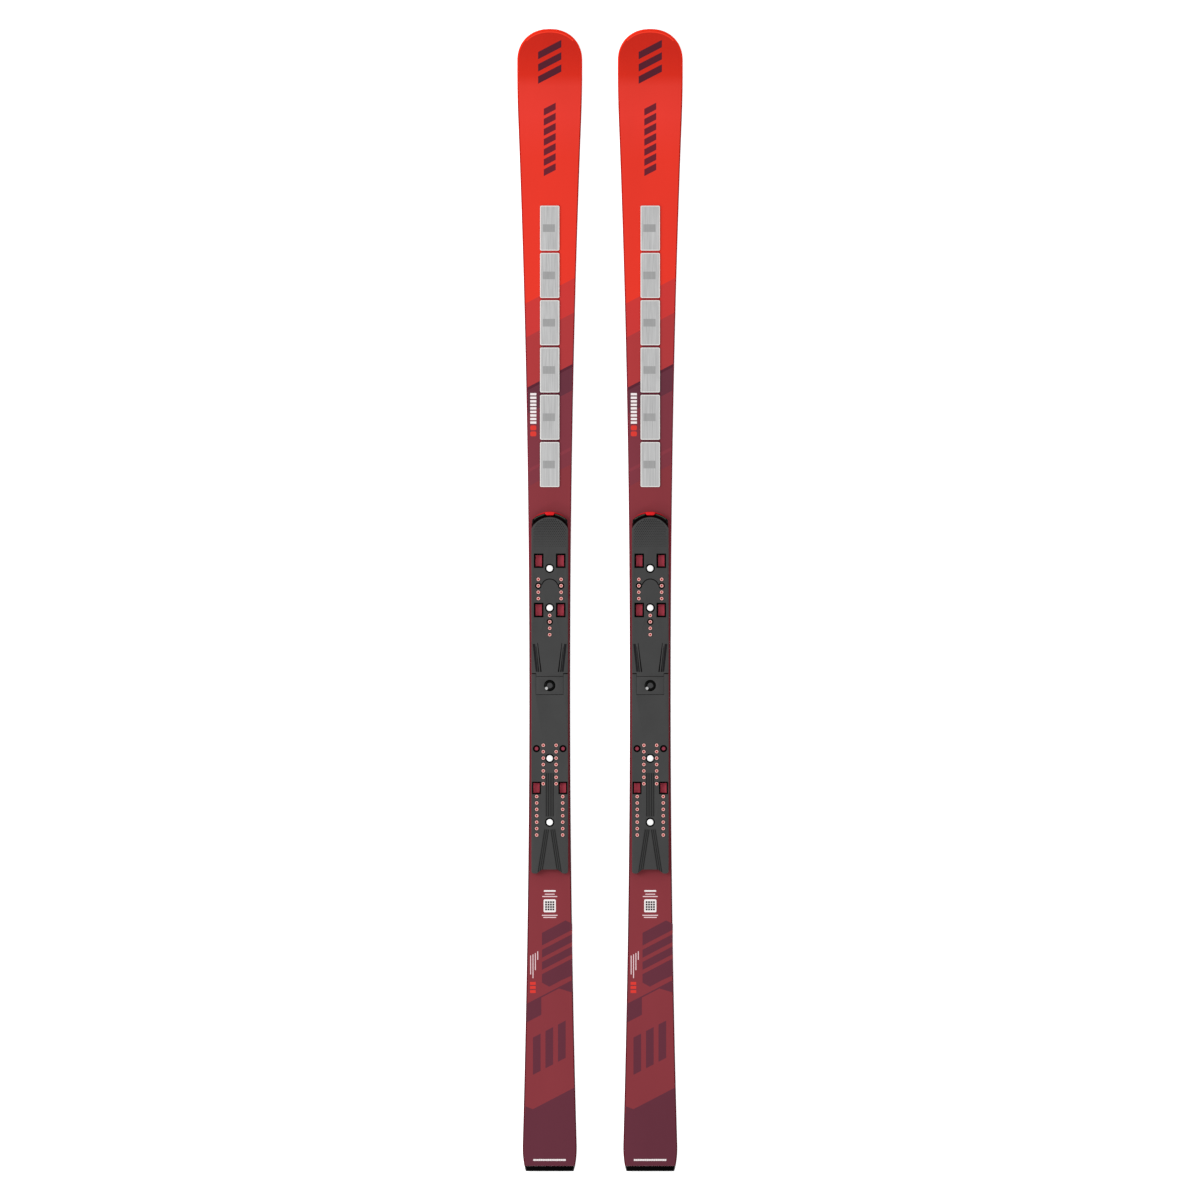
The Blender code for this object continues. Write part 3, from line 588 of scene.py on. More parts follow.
def mirrored(points):
    """The right half of an outline, with its left half added."""
    return points + [(-x, y) for x, y in reversed(points) if x > 0]


def flipped(outline):
    """The same outline on the other side of the centre line."""
    return [(-x, y) for x, y in reversed(outline)]


def both(outline):
    return [outline, flipped(outline)]


def arc(centre, radius, start, end, steps):
    """Points on an arc, with angles in degrees from +X."""
    turns = [math.radians(mix(start, end, i / steps)) for i in range(steps + 1)]
    return [(centre[0] + radius * math.cos(t), centre[1] + radius * math.sin(t)) for t in turns]


def rectangle(left, right, rear, front):
    return [(left, rear), (right, rear), (right, front), (left, front)]


def rounded_rectangle(left, right, rear, front, radius, steps=6):
    corners = (
        (right - radius, rear + radius, -90),
        (right - radius, front - radius, 0),
        (left + radius, front - radius, 90),
        (left + radius, rear + radius, 180),
    )
    points = []
    for x, y, start in corners:
        points += arc((x, y), radius, start, start + 90, steps)
    return points


def slanted_bar(left, right, rear, front, rise=DIAGONAL):
    """A bar whose ends climb to the right; rear and front are its places on the centre line."""
    return [
        (left, rear + rise * left),
        (right, rear + rise * right),
        (right, front + rise * right),
        (left, front + rise * left),
    ]


def strip(start, end, start_width, end_width):
    """A tapering strip between two points, as an outline."""
    along = (Vector(end) - Vector(start)).normalized()
    across = Vector((along.y, -along.x))
    points = [
        Vector(start) - across * start_width / 2,
        Vector(start) + across * start_width / 2,
        Vector(end) + across * end_width / 2,
        Vector(end) - across * end_width / 2,
    ]
    return [(p.x, p.y) for p in points]


def add_cone(shape, x, y, low_radius, high_radius, z_range, sides):
    bmesh.ops.create_cone(
        shape,
        cap_ends=True,
        segments=sides,
        radius1=low_radius,
        radius2=high_radius,
        depth=z_range[1] - z_range[0],
        matrix=Matrix.Translation((x, y, middle(*z_range))),
    )


def cylinders(places, radius, z_range, sides=32):
    shape = bmesh.new()
    for x, y in places:
        add_cone(shape, x, y, radius, radius, z_range, sides)
    return shape


def turned(profile, places, steps=32, closed=False):
    """(radius, z) points turned about a vertical axis at each place."""
    shape = bmesh.new()
    for x, y in places:
        points = [shape.verts.new((x + radius, y, z)) for radius, z in profile]
        ends = [*points[1:], points[0]] if closed else points[1:]
        lines = [shape.edges.new(pair) for pair in zip(points, ends)]
        bmesh.ops.spin(
            shape,
            geom=points + lines,
            cent=(x, y, 0),
            axis=(0, 0, 1),
            angle=math.tau,
            steps=steps,
            use_merge=True,
        )
    bmesh.ops.remove_doubles(shape, verts=shape.verts, dist=TINY)
    bmesh.ops.recalc_face_normals(shape, faces=shape.faces)
    return shape


def helper(shape, materials):
    mesh = bpy.data.meshes.new("blank")
    shape.to_mesh(mesh)
    shape.free()
    for material in materials:
        mesh.materials.append(FINISHES[material])
    obj = bpy.data.objects.new("blank", mesh)
    bpy.context.scene.collection.objects.link(obj)
    return obj


def add_cuts(blank, cuts):
    """Cuts each (cutter, material) from the blank; the cut faces take the cutter's material."""
    tools = [helper(cutter, [material]) for cutter, material in cuts]
    for tool in tools:
        modifier = blank.modifiers.new("Cut", "BOOLEAN")
        modifier.operation = "DIFFERENCE"
        modifier.material_mode = "TRANSFER"
        modifier.object = tool
    return tools


def worked(shape, materials, cuts=(), rounding=0.0, segments=2, sharp_cuts=()):
    """The mesh of a shape after its cuts, its rounded edges, and the cuts left sharp."""
    blank = helper(shape, materials)
    tools = add_cuts(blank, cuts)
    if rounding:
        modifier = blank.modifiers.new("Rounding", "BEVEL")
        modifier.width = rounding
        modifier.segments = segments
        modifier.limit_method = "ANGLE"
        modifier.angle_limit = math.radians(40)
        modifier.use_clamp_overlap = False
    tools += add_cuts(blank, sharp_cuts)
    graph = bpy.context.evaluated_depsgraph_get()
    mesh = bpy.data.meshes.new_from_object(blank.evaluated_get(graph))
    for obj in (blank, *tools):
        bpy.data.objects.remove(obj)
    return mesh


# ---- prints ------------------------------------------------------------------------------

# Slanted colour fields of the topsheet, from the tail: where each starts on the centre line
FIELDS = (
    (-1.0, "tail_maroon"),
    (0.1158, "burgundy"),
    (1.1390, "wine"),
    (1.1620, "light_wine"),
    (1.1675, "wine"),
    (1.2590, "dark_maroon"),
    (1.2970, "dark_line"),
    (1.3020, "crimson"),
    (1.3850, "second_red"),
    (1.4410, "tip_red_and_painted_shade"),
)


def field_of(u):
    """Index of the colour field at the slanted place u."""
    return max(i for i, (start, _) in enumerate(FIELDS) if u >= start)


# The dark corner beside the slanted end of the tail field
TAIL_CORNER_PATCH = [(-0.0276, 0.1015), (-0.0400, 0.0951), (-0.0400, 0.1062)]


def mark_bars(left, right, first, height, pitch, count, rise=DIAGONAL):
    """A row of equal slanted bars along the ski."""
    return [
        slanted_bar(left, right, first + i * pitch, first + i * pitch + height, rise)
        for i in range(count)
    ]


def plate_shade_field():
    """Painted shade: a dark field on the topsheet under the race plate and its end cap, seen in the
    gaps round them.
    """
    half = PLATE_HALF_WIDTH - 0.0004
    radius = CAP_HIGH.x + 0.0125
    front = nose(radius, CAP_HIGH.y - 0.0015, CAP_HIGH.x - 0.001)
    right = [(half, HEEL_LOW.y + 0.012), (half, CAP_LOW.y - 0.001), *front[:-1]]
    return mirrored([*right, (0.0, front[-1][1])])


def nose_highlight():
    """A painted highlight: a bright line just inside the rounded tip, where its edge catches the
    light.
    """
    ys = [y for y in STATIONS if y > TIP_CENTRE_Y + 0.68 * TIP_ROUND]
    outer = [outline_point(y, SIDE_SLANT + 0.0003) for y in ys]
    inner = [outline_point(y, SIDE_SLANT + 0.0017) for y in reversed(ys)]
    return outer + flipped(outer) + flipped(inner) + inner


def dark_panels():
    """Dark slanted panels of the tail."""
    upper = [(-0.0127, 0.3086), (-0.0007, 0.3020), (0.0189, 0.3125), (0.0369, 0.3205)]
    upper += [(0.0369, 0.4050), (0.0258, 0.4105), (-0.0127, 0.3900)]
    slash = [(-0.0376, 0.2436), (-0.0138, 0.2560), (-0.0138, 0.2841), (0.0150, 0.2991)]
    slash += [(0.0369, 0.2925), (0.0369, 0.3129), (-0.0376, 0.2742)]
    lefts = (-0.0275, -0.0070, 0.0135)
    stripes = [slanted_bar(left, left + 0.0125, 0.1720, 0.2330) for left in lefts]
    return [upper, slash, *stripes]


# Lines of the label: half width, rear side and height; and at the tail's left: x, rear, front
LABEL_LINES = (
    (0.0096, 0.4574, 0.0026),
    (0.0080, 0.4527, 0.0015),
    (0.0122, 0.4488, 0.0016),
    (0.0128, 0.4180, 0.0016),
    (0.0105, 0.4146, 0.0016),
)
SIDE_LINES = (
    (-0.0313, 0.3220, 0.3530),
    (-0.0274, 0.3160, 0.3550),
    (-0.0235, 0.3290, 0.3570),
    (-0.0196, 0.3460, 0.3600),
)


def label_lines():
    """Thin pale lines above and below the label, and along the left side of the tail."""
    lines = [rectangle(-half, half, y, y + height) for half, y, height in LABEL_LINES[1:]]
    for x, rear, front in SIDE_LINES:
        lines.append(rectangle(x - 0.0007, x + 0.0007, rear, front))
    return lines


def cap_front_highlight():
    """A painted highlight: a thin bright line on the topsheet just in front of the end cap."""
    inner = arc(CAP_CENTRE, CAP_RADIUS + 0.0001, 48, 132, 40)
    outer = arc((0.0, CAP_CENTRE[1] + 0.0012), CAP_RADIUS + 0.0010, 132, 48, 40)
    return inner + outer


def prints():
    """Every print on the topsheet: name, finish, outlines and layer."""
    white = mark_bars(-0.0319, -0.0219, 1.2236, 0.0038, 0.0058, 9, 0.0)
    white += [rectangle(x, x + 0.0027, 0.0168, 0.0198) for x in even(-0.0268, 0.0265, 18)]
    white.append(rounded_rectangle(-0.0100, 0.0100, 0.4238, 0.4450, 0.002))
    half, y, height = LABEL_LINES[0]
    white.append(rectangle(-half, half, y, y + height))
    squares = []
    for left in (-0.0075, -0.0035, 0.0005, 0.0045):
        for rear in (0.4269, 0.4309, 0.4349, 0.4389):
            squares.append(rectangle(left, left + 0.0030, rear, rear + 0.0030))
    light_bars = mark_bars(-0.0128, 0.0369, 0.3290, 0.0070, 0.0200, 3)
    red = [rounded_rectangle(-0.0319, -0.0219, y, y + 0.0080, 0.0025) for y in (1.2128, 1.2030)]
    red += mark_bars(-0.0323, -0.0230, 0.2916, 0.0048, 0.0067, 3, 0.0)
    # painted light: bright patches on the topsheet under the windows, lifting the shade in them
    windows = window_outlines((*TOE_WINDOWS, *HEEL_WINDOWS), -0.0005)
    # painted shadow on the topsheet along the right side of the damper bed
    shade = rectangle(BED_HIGH.x + 0.0001, BED_HIGH.x + 0.0026, BED_LOW.y, BED_HIGH.y)
    return (
        # painted shade under the plate and cap, seen in the gaps round them
        ("plate_shade_field", "plate_shade_print", [plate_shade_field()], 0),
        ("tip_bars", "tip_print", mark_bars(-0.0190, 0.0190, 1.7900, 0.0120, 0.0200, 3), 0),
        ("shovel_bars", "bar_print", mark_bars(-0.0097, 0.0097, 1.6340, 0.0110, 0.0165, 7), 0),
        ("tail_panels", "tail_maroon", dark_panels(), 0),
        ("tail_corner", "tail_maroon", [TAIL_CORNER_PATCH], 0),
        ("nose_highlight", "nose_highlight_print", [nose_highlight()], 0),
        ("damper_painted_shadow", "painted_shadow_print", [shade], 0),
        ("white_prints", "white_print", white, 1),
        ("fine_lines", "fine_print", label_lines(), 1),
        ("light_bars", "burgundy", light_bars, 1),
        ("red_prints", "red_print", red, 1),
        ("label_squares", "grey_print", squares, 2),
        ("window_painted_light", "window_light_print", windows, 1),
        # painted highlight just in front of the end cap
        ("cap_front_highlight", "cap_front_highlight_print", [cap_front_highlight()], 0),
    )


# ---- plate details, from the middle of the boot ------------------------------------------

INSERT_RADIUS = 0.0036
INSERT_DEPTH = 0.006
INSERT_PITCH = 0.0105
RECESS_RADIUS = 0.0075
RECESS_DEPTH = 0.0035
TOE_SIDE_INSERTS = (PLATE_HALF_WIDTH - 0.0112, 0.1738, 4)
TOE_MIDDLE_INSERTS = (0.0, 0.1148, 4)
HEEL_INNER_INSERTS = (0.0105, -0.0978, 7)
HEEL_OUTER_INSERTS = (PLATE_HALF_WIDTH - 0.0086, -0.1817, 7)
SIDE_INSERT = (PLATE_HALF_WIDTH - 0.0082, -0.1033)
SIDE_INSERT_RADIUS = 0.00595
TOE_WINDOW_SIDES = (0.0124, PLATE_HALF_WIDTH - 0.0062)
TOE_WINDOWS = ((*TOE_WINDOW_SIDES, 0.1946, 0.2139), (*TOE_WINDOW_SIDES, 0.1139, 0.1334))
HEEL_WINDOWS = ((0.0161, PLATE_HALF_WIDTH - 0.0028, -0.1760, -0.1592),)
TOE_WINDOW_RIM = 0.0021
HEEL_WINDOW_RIM = 0.0017
WINDOW_RIM_DEPTH = 0.0012
GROOVE_DEPTH = 0.0007
RIB_ENDS = (BOOT_Y - 0.2145, BOOT_Y - 0.1430)
SPLAY_ENDS = (BOOT_Y - 0.2350, BOOT_Y - 0.3060)
NOSE_RADIUS = PLATE_HALF_WIDTH + 0.0031
SHANK_RADIUS = 0.0028
SPLIT_Y = BRIDGE_HIGH.y + 0.0052  # middle of the split between the plate's halves
SPLIT_HALF = 0.0007
SCREW_SEAT_Z = PLATE_TOP_Z - RECESS_DEPTH + 0.0003
SCREWS = ("toe_screw_front", "toe_screw_rear", "heel_screw_front", "heel_screw_rear")
ABOVE_PLATE = PLATE_TOP_Z + 0.001
BELOW_PLATE = PLATE_BOTTOM_Z - 0.001


def insert_places(x, first, rows):
    """Places of one row of threaded inserts, or of a pair of rows beside the centre line."""
    signs = (1, -1) if x else (1,)
    ys = [BOOT_Y + first - row * INSERT_PITCH for row in range(rows)]
    return [(sign * x, y) for y in ys for sign in signs]


TOE_SIDE_PLACES = insert_places(*TOE_SIDE_INSERTS)
TOE_MIDDLE_PLACES = insert_places(*TOE_MIDDLE_INSERTS)
HEEL_PLACES = insert_places(*HEEL_INNER_INSERTS) + insert_places(*HEEL_OUTER_INSERTS)
SIDE_PLACES = [(sign * SIDE_INSERT[0], BOOT_Y + SIDE_INSERT[1]) for sign in (1, -1)]


def window_outlines(windows, margin=0.0):
    outlines = []
    for inner, outer, rear, front in windows:
        low, high = BOOT_Y + rear - margin, BOOT_Y + front + margin
        outlines += both(rectangle(inner - margin, outer + margin, low, high))
    return outlines


def window_cuts(windows, rim):
    """Openings through the plate, each with a rim let into its top, their cut faces painted black
    as painted shade.
    """
    through = slab(window_outlines(windows), BELOW_PLATE, ABOVE_PLATE)
    rim_floor = PLATE_TOP_Z - WINDOW_RIM_DEPTH
    rims = slab(window_outlines(windows, rim), rim_floor, ABOVE_PLATE)
    return [(through, "recess"), (rims, "recess")]


def screw_cuts(screws):
    """Clearance holes and head recesses, their cut faces painted black as painted shade."""
    places = [screw_place(screw) for screw in screws]
    holes = cylinders(places, 0.0049, (BELOW_PLATE, ABOVE_PLATE))
    heads = cylinders(places, RECESS_RADIUS, (PLATE_TOP_Z - RECESS_DEPTH, ABOVE_PLATE))
    return [(holes, "recess"), (heads, "recess")]


def insert_cut(places, radius, depth):
    return cylinders(places, radius, (PLATE_TOP_Z - depth, ABOVE_PLATE)), "recess"


def screw_place(node):
    low, high = ski_box(node)
    return 0.0, middle(low.y, high.y)


def screw_stem(head_radius):
    """The profile of a screw from the side of its head down to its foot."""
    shank = [(SHANK_RADIUS, SCREW_SEAT_Z), (SHANK_RADIUS, SCREW_FOOT_Z)]
    return [(head_radius, SCREW_SEAT_Z), *shank, (0.0, SCREW_FOOT_Z)]


def nose(radius, front, half_width, steps=24):
    """The right half of an arched front end, from the side to the middle."""
    start = math.degrees(math.acos(min(half_width / radius, 1.0)))
    return arc((0.0, front - radius), radius, start, 90, steps)


def grip_dimples():
    """Staggered dimples of the grip field on the arched front of the plate, fading backwards."""
    shape = bmesh.new()
    centre_y = TOE_HIGH.y - NOSE_RADIUS
    depth = (PLATE_TOP_Z - 0.0005, PLATE_TOP_Z + 0.0002)
    for row in range(17):
        y = TOE_HIGH.y - 0.0045 - row * 0.0027
        size = mix(0.00125, 0.0006, row / 16)
        for column in range(-9, 10):
            x = (column + 0.5 * (row % 2)) * 0.0032
            if math.hypot(x, y - centre_y) < NOSE_RADIUS - 0.0025 and abs(x) < 0.0268:
                add_cone(shape, x, y, size * 0.25, size, depth, 8)
    return shape


def toe_grooves():
    """The arched line and the slanted grooves of the toe half."""
    centre = (0.0, BOOT_Y + 0.1605)
    arch = arc(centre, 0.0146, 18, 162, 32) + arc(centre, 0.0131, 162, 18, 32)
    rear = BOOT_Y + 0.0222
    inner = strip((0.0199, BOOT_Y + 0.0697), (0.0143, rear), 0.0009, 0.0020)
    outer = strip((0.0222, BOOT_Y + 0.0640), (0.0180, rear), 0.0006, 0.0016)
    return [arch, *both(inner), *both(outer)]


def toe_wedges():
    """The wide shallow recesses outside the slanted grooves."""
    rear, front = BOOT_Y + 0.0225, BOOT_Y + 0.0680
    return both([(0.0278, front), (0.0237, front), (0.0196, rear), (0.0228, rear)])


def splayed(start, end, width, short=0.0):
    """A pair of straight lines that spread towards the tail, drawn short at both ends."""
    front, rear = SPLAY_ENDS[0] - short, SPLAY_ENDS[1] + short
    return both(strip((start, front), (end, rear), width, width))


def heel_bands():
    """The shallow bands that hold the ribs and the splayed grooves."""
    return [rectangle(-0.0066, 0.0066, *RIB_ENDS), *splayed(0.0050, 0.0157, 0.0086)]


def heel_grooves():
    """Lengthwise grooves between the screws and the splayed grooves behind them."""
    outlines = []
    rear, front = RIB_ENDS
    for x in (0.0020, 0.0057):
        outlines += both(rectangle(x - 0.0005, x + 0.0005, rear + 0.0006, front - 0.0006))
    for offset in (-0.0030, 0.0, 0.0030):
        outlines += splayed(0.0050 + offset, 0.0157 + offset, 0.0010, 0.0012)
    return outlines


# ---- one ski -----------------------------------------------------------------------------


class Ski:
    def __init__(self, side):
        self.side = side
        self.at = ski_origin(side)

    def add(self, name, slot, node, shape, materials, body="ski", **work):
        """Works a shape drawn in ski coordinates, and puts it on one of the ski's bodies.

        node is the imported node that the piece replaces, or None.
        """
        mesh = worked(shape, materials, **work)
        mesh.name = f"{self.side}_{name}"
        mesh.transform(Matrix.Translation(self.at))
        mesh.shade_smooth()
        mesh.set_sharp_from_angle(angle=math.radians(35))
        piece = bpy.data.objects.new(mesh.name, mesh)
        bpy.context.scene.collection.objects.link(piece)
        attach(piece, f"{self.side}_{body}")
        if node:
            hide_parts(f"{self.side}_{node}")

    def paint_node(self, node, finish):
        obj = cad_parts[f"{self.side}_{node}"]
        obj.data.materials.clear()
        obj.data.materials.append(FINISHES[finish])

    def build(self):
        self.add_base_and_edges()
        self.add_sandwich()
        self.add_topsheet()
        self.add_tail_protector()
        self.add_prints()
        self.add_underlays()
        self.add_toe_plate()
        self.add_heel_plate()
        self.add_bridge()
        self.add_inserts()
        self.add_screws()
        self.add_centre_screw()
        self.add_end_cap()
        self.add_bumper()
        self.add_dampers()

    # -- body of the ski

    def add_base_and_edges(self):
        ys = stations_between(STATIONS[0], STATIONS[-1])
        top = above_base(BASE_THICKNESS)
        shape = bent_box(ys, both_sides(EDGE_WIDTH + SEAM, EDGE_WIDTH + SEAM), base_z, top)
        self.add("base_sheet", "running_base", "running_base", shape, ["base"])
        for name, sign in (("left", -1), ("right", 1)):
            shape = bent_box(ys, one_side(sign, 0.0, 0.0, EDGE_WIDTH), base_z, top)
            self.add(f"steel_edge_{name}", "edge_steel", f"edge_{name}", shape, ["steel"])

    def screw_bores(self):
        places = [(0.0, BOOT_Y), *map(screw_place, SCREWS)]
        return cylinders(places, 0.0032, (SCREW_FOOT_Z - 0.0004, PLATE_BOTTOM_Z), 24)

    def add_sandwich(self):
        ys = stations_between(STATIONS[0], CORE_END_Y)
        metal_low = BASE_THICKNESS + SEAM
        core_low = metal_low + METAL_THICKNESS + SEAM
        metal_high = TOPSHEET_THICKNESS + SEAM
        core_high = metal_high + METAL_THICKNESS + SEAM
        core_bottom, core_top = above_base(core_low), below_deck(core_high)
        sheet = bent_box(
            ys, both_sides(0.0001, 0.0001), above_base(metal_low), above_base(core_low - SEAM)
        )
        self.add("lower_alloy", "core_alloy", "lower_metal_sheet", sheet, ["alloy"])
        sheet = bent_box(
            ys,
            both_sides(SIDE_SLANT, SIDE_SLANT),
            below_deck(core_high - SEAM),
            below_deck(metal_high),
        )
        cuts = [(self.screw_bores(), "alloy")]
        self.add("upper_alloy", "core_alloy", "upper_metal_sheet", sheet, ["alloy"], cuts=cuts)
        inset = SIDE_SLANT + SIDEWALL_WIDTH
        core = bent_box(ys, both_sides(inset + SEAM, inset + SEAM), core_bottom, core_top)
        cuts = [(self.screw_bores(), "wood")]
        self.add("core", "core_wood", "wood_core", core, ["wood"], cuts=cuts)
        for name, sign in (("left", -1), ("right", 1)):
            wall = bent_box(ys, one_side(sign, 0.0001, SIDE_SLANT, inset), core_bottom, core_top)
            self.add(f"side_strip_{name}", "sidewall", f"sidewall_{name}", wall, ["side"])
        spacer = bent_box(
            stations_between(CORE_END_Y + SEAM, STATIONS[-1]),
            both_sides(0.0001, SIDE_SLANT - 0.0001),
            above_base(metal_low),
            below_deck(metal_high),
        )
        self.add("tip_filler", "sidewall", "tip_spacer", spacer, ["side"])

    def add_topsheet(self):
        ys = stations_between(STATIONS[0], STATIONS[-1])
        sides = both_sides(SIDE_SLANT, SIDE_SLANT)
        shape = bent_box(ys, sides, below_deck(TOPSHEET_THICKNESS), deck_z)
        for start, _ in FIELDS[1:]:
            cut_across(shape, (0, start, 0), (-DIAGONAL, 1, 0))
        names = list(dict.fromkeys(finish for _, finish in FIELDS))
        for face in shape.faces:
            centre = face.calc_center_median()
            finish = FIELDS[field_of(centre.y - DIAGONAL * centre.x)][1]
            face.material_index = names.index(finish)
        cuts = [(self.screw_bores(), "recess")]
        self.add("printed_topsheet", "topsheet", "topsheet", shape, names, cuts=cuts)

    def add_tail_protector(self):
        ys = [TAIL_PROTECTOR_LENGTH * i / 6 for i in range(7)]
        shape = bent_box(ys, both_sides(0.0, SIDE_SLANT), base_z, deck_z)
        rounded = {"rounding": 0.0007, "segments": 3}
        self.add("tail_end", "cap", "tail_protector", shape, ["tail_cap"], **rounded)

    def add_prints(self):
        for name, finish, outlines, layer in prints():
            low = PRINT_LIFT + layer * (PRINT_THICKNESS + PRINT_LIFT)
            shape = draped(outlines, low, low + PRINT_THICKNESS)
            self.add(name, "topsheet", None, shape, [finish])

    # -- race plate

    def add_underlays(self):
        for node in ("toe_underlay", "heel_underlay"):
            self.paint_node(node, "elastomer")

    def add_toe_plate(self):
        rear = SPLIT_Y + SPLIT_HALF
        half = BRIDGE_HIGH.x - 0.0002
        arch = nose(NOSE_RADIUS, TOE_HIGH.y, PLATE_HALF_WIDTH)
        right = [(half, TOE_LOW.y), (half, rear), (PLATE_HALF_WIDTH, rear), *arch[:-1]]
        right.append((0.0, arch[-1][1]))
        self.add(
            "toe_plate_body",
            "race_plate",
            "toe_plate",
            slab([mirrored(right)], PLATE_BOTTOM_Z, PLATE_TOP_Z),
            ["plate"],
            "toe_plate",
            cuts=window_cuts(TOE_WINDOWS, TOE_WINDOW_RIM) + screw_cuts(SCREWS[:2]),
            rounding=0.0004,
            sharp_cuts=[
                insert_cut(TOE_SIDE_PLACES + TOE_MIDDLE_PLACES, INSERT_RADIUS, INSERT_DEPTH),
                insert_cut(TOE_SIDE_PLACES[2:4] + TOE_MIDDLE_PLACES[1:2], 0.0052, 0.0012),
                # the wedges, grooves and grip dimples are painted dark as painted shade
                (slab(toe_wedges(), PLATE_TOP_Z - 0.0006, ABOVE_PLATE), "wedge_shade"),
                (slab(toe_grooves(), PLATE_TOP_Z - 0.0012, ABOVE_PLATE), "recess"),
                (grip_dimples(), "groove_shade"),
            ],
        )

    def add_heel_plate(self):
        front, rear = SPLIT_Y - SPLIT_HALF, HEEL_LOW.y
        slot = BRIDGE_HIGH.x + 0.0002
        lobe_radius = 0.004
        lobe = (PLATE_HALF_WIDTH - lobe_radius, rear + lobe_radius)
        right = [
            (0.013, rear + 0.0065),
            (PLATE_HALF_WIDTH - 0.0084, rear),
            *arc(lobe, lobe_radius, -90, 0, 10),
            (PLATE_HALF_WIDTH, front),
            (slot, front),
            (slot, BRIDGE_LOW.y - 0.0009),
        ]
        self.add(
            "heel_plate_body",
            "race_plate",
            "heel_plate",
            slab([mirrored(right)], PLATE_BOTTOM_Z, PLATE_TOP_Z),
            ["plate"],
            "heel_plate",
            cuts=window_cuts(HEEL_WINDOWS, HEEL_WINDOW_RIM) + screw_cuts(SCREWS[2:]),
            rounding=0.0004,
            sharp_cuts=[
                insert_cut(HEEL_PLACES, INSERT_RADIUS, INSERT_DEPTH),
                insert_cut(SIDE_PLACES, SIDE_INSERT_RADIUS, INSERT_DEPTH),
                (slab(heel_bands(), PLATE_TOP_Z - 0.0003, ABOVE_PLATE), "band"),
                # the grooves are painted dark as painted shade
                (slab(heel_grooves(), PLATE_TOP_Z - GROOVE_DEPTH, ABOVE_PLATE), "groove_shade"),
            ],
        )

    def add_bridge(self):
        centre = [(0.0, BOOT_Y)]
        rear, front = BRIDGE_LOW.y - 0.0003, BRIDGE_HIGH.y + 0.0003
        outline = rectangle(-BRIDGE_HIGH.x, BRIDGE_HIGH.x, rear, front)
        shape = slab([outline], BRIDGE_LOW.z, PLATE_TOP_Z)
        bore = cylinders(centre, 0.0032, (BRIDGE_LOW.z - 0.001, PLATE_TOP_Z), 24)
        seat = (PLATE_TOP_Z - RECESS_DEPTH, ABOVE_PLATE)
        recess = cylinders(centre, CENTRE_HEAD_RADIUS + 0.0002, seat, 48)
        work = {"cuts": [(bore, "recess"), (recess, "recess")], "rounding": 0.0004}
        self.add("bridge_block", "race_plate", "bridge", shape, ["plate"], **work)

    def add_inserts(self):
        top = PLATE_TOP_Z - 0.0003
        floor = PLATE_TOP_Z - INSERT_DEPTH + 0.0002
        chamfer = 0.0003
        step = top - 0.0012
        inner, outer, flange = 0.0015, 0.0029, INSERT_RADIUS - 0.0001
        ring = [
            (inner, floor),
            (inner, top - chamfer),
            (inner + chamfer, top),
            (outer - chamfer, top),
            (outer, top - chamfer),
            (outer, step),
            (flange, step),
            (flange, floor),
        ]
        pin, sunk = inner - 0.00005, top - 0.0005
        core = [(0.0, sunk), (pin, sunk), (pin, floor), (0.0, floor)]
        for half, places in (("toe", TOE_SIDE_PLACES + TOE_MIDDLE_PLACES), ("heel", HEEL_PLACES)):
            shape = turned(ring, places, 20, closed=True)
            # faces below the step take painted shade, the dark gap round each bush in its hole
            for face in shape.faces:
                face.material_index = int(max(vert.co.z for vert in face.verts) < step + TINY)
            body = f"{half}_plate"
            bush = ["bush", "recess"]
            self.add(f"{half}_insert_bushes", "race_plate", None, shape, bush, body)
            shape = turned(core, places, 12)
            self.add(f"{half}_insert_cores", "race_plate", None, shape, ["insert_core"], body)
        inner, outer = 0.0034, SIDE_INSERT_RADIUS - 0.0001
        ring = [
            (inner, floor),
            (inner, top - 0.0008),
            (inner + 0.0006, top),
            (outer - chamfer, top),
            (outer, top - chamfer),
            (outer, floor),
        ]
        # painted shade: a black lining round each side hole
        rings = turned(ring, SIDE_PLACES, 32, closed=True)
        self.add("side_insert_rings", "race_plate", None, rings, ["recess"], "heel_plate")
        plug = [(0.0, step), (0.0029, step), (0.0033, step - 0.0004), (0.0033, floor)]
        plugs = turned([*plug, (0.0, floor)], SIDE_PLACES, 24)
        self.add("side_insert_plugs", "race_plate", None, plugs, ["side_plug"], "heel_plate")

    def add_screws(self):
        top = SCREW_TOP_Z
        radius = SCREW_HEAD_RADIUS - 0.0007
        head = [(0.0, top), (radius - 0.0012, top - 0.00006), (radius - 0.0004, top - 0.0002)]
        head.append((radius, top - 0.0007))
        for name in SCREWS:
            shape = turned(head + screw_stem(radius), [screw_place(name)], 40)
            self.add(f"{name}_head", "plate_screw", name, shape, ["white_head"])

    def add_centre_screw(self):
        """A head with a raised ring round its face, and a pale pin set in the ring as a painted
        glint.
        """
        radius = CENTRE_HEAD_RADIUS - 0.0003
        face_radius = 0.0046
        ring, ring_half = (face_radius + radius) / 2, (radius - face_radius) / 2
        base = SCREW_TOP_Z - 0.0006
        head = [(0.0, base), (face_radius - 0.0003, base)]
        for turn in (math.pi * i / 8 for i in range(9)):
            height = base + 0.0009 * math.sin(turn)
            head.append((ring - ring_half * math.cos(turn), height))
        shape = turned(head + screw_stem(radius), [(0.0, BOOT_Y)], 48)
        for face in shape.faces:
            centre = face.calc_center_median()
            on_face = math.hypot(centre.x, centre.y - BOOT_Y) < face_radius - 0.0001
            face.material_index = int(on_face and centre.z > SCREW_SEAT_Z)
        finishes = ["centre_ring", "centre_face"]
        self.add("centre_screw_head", "centre_screw", "centre_screw", shape, finishes)
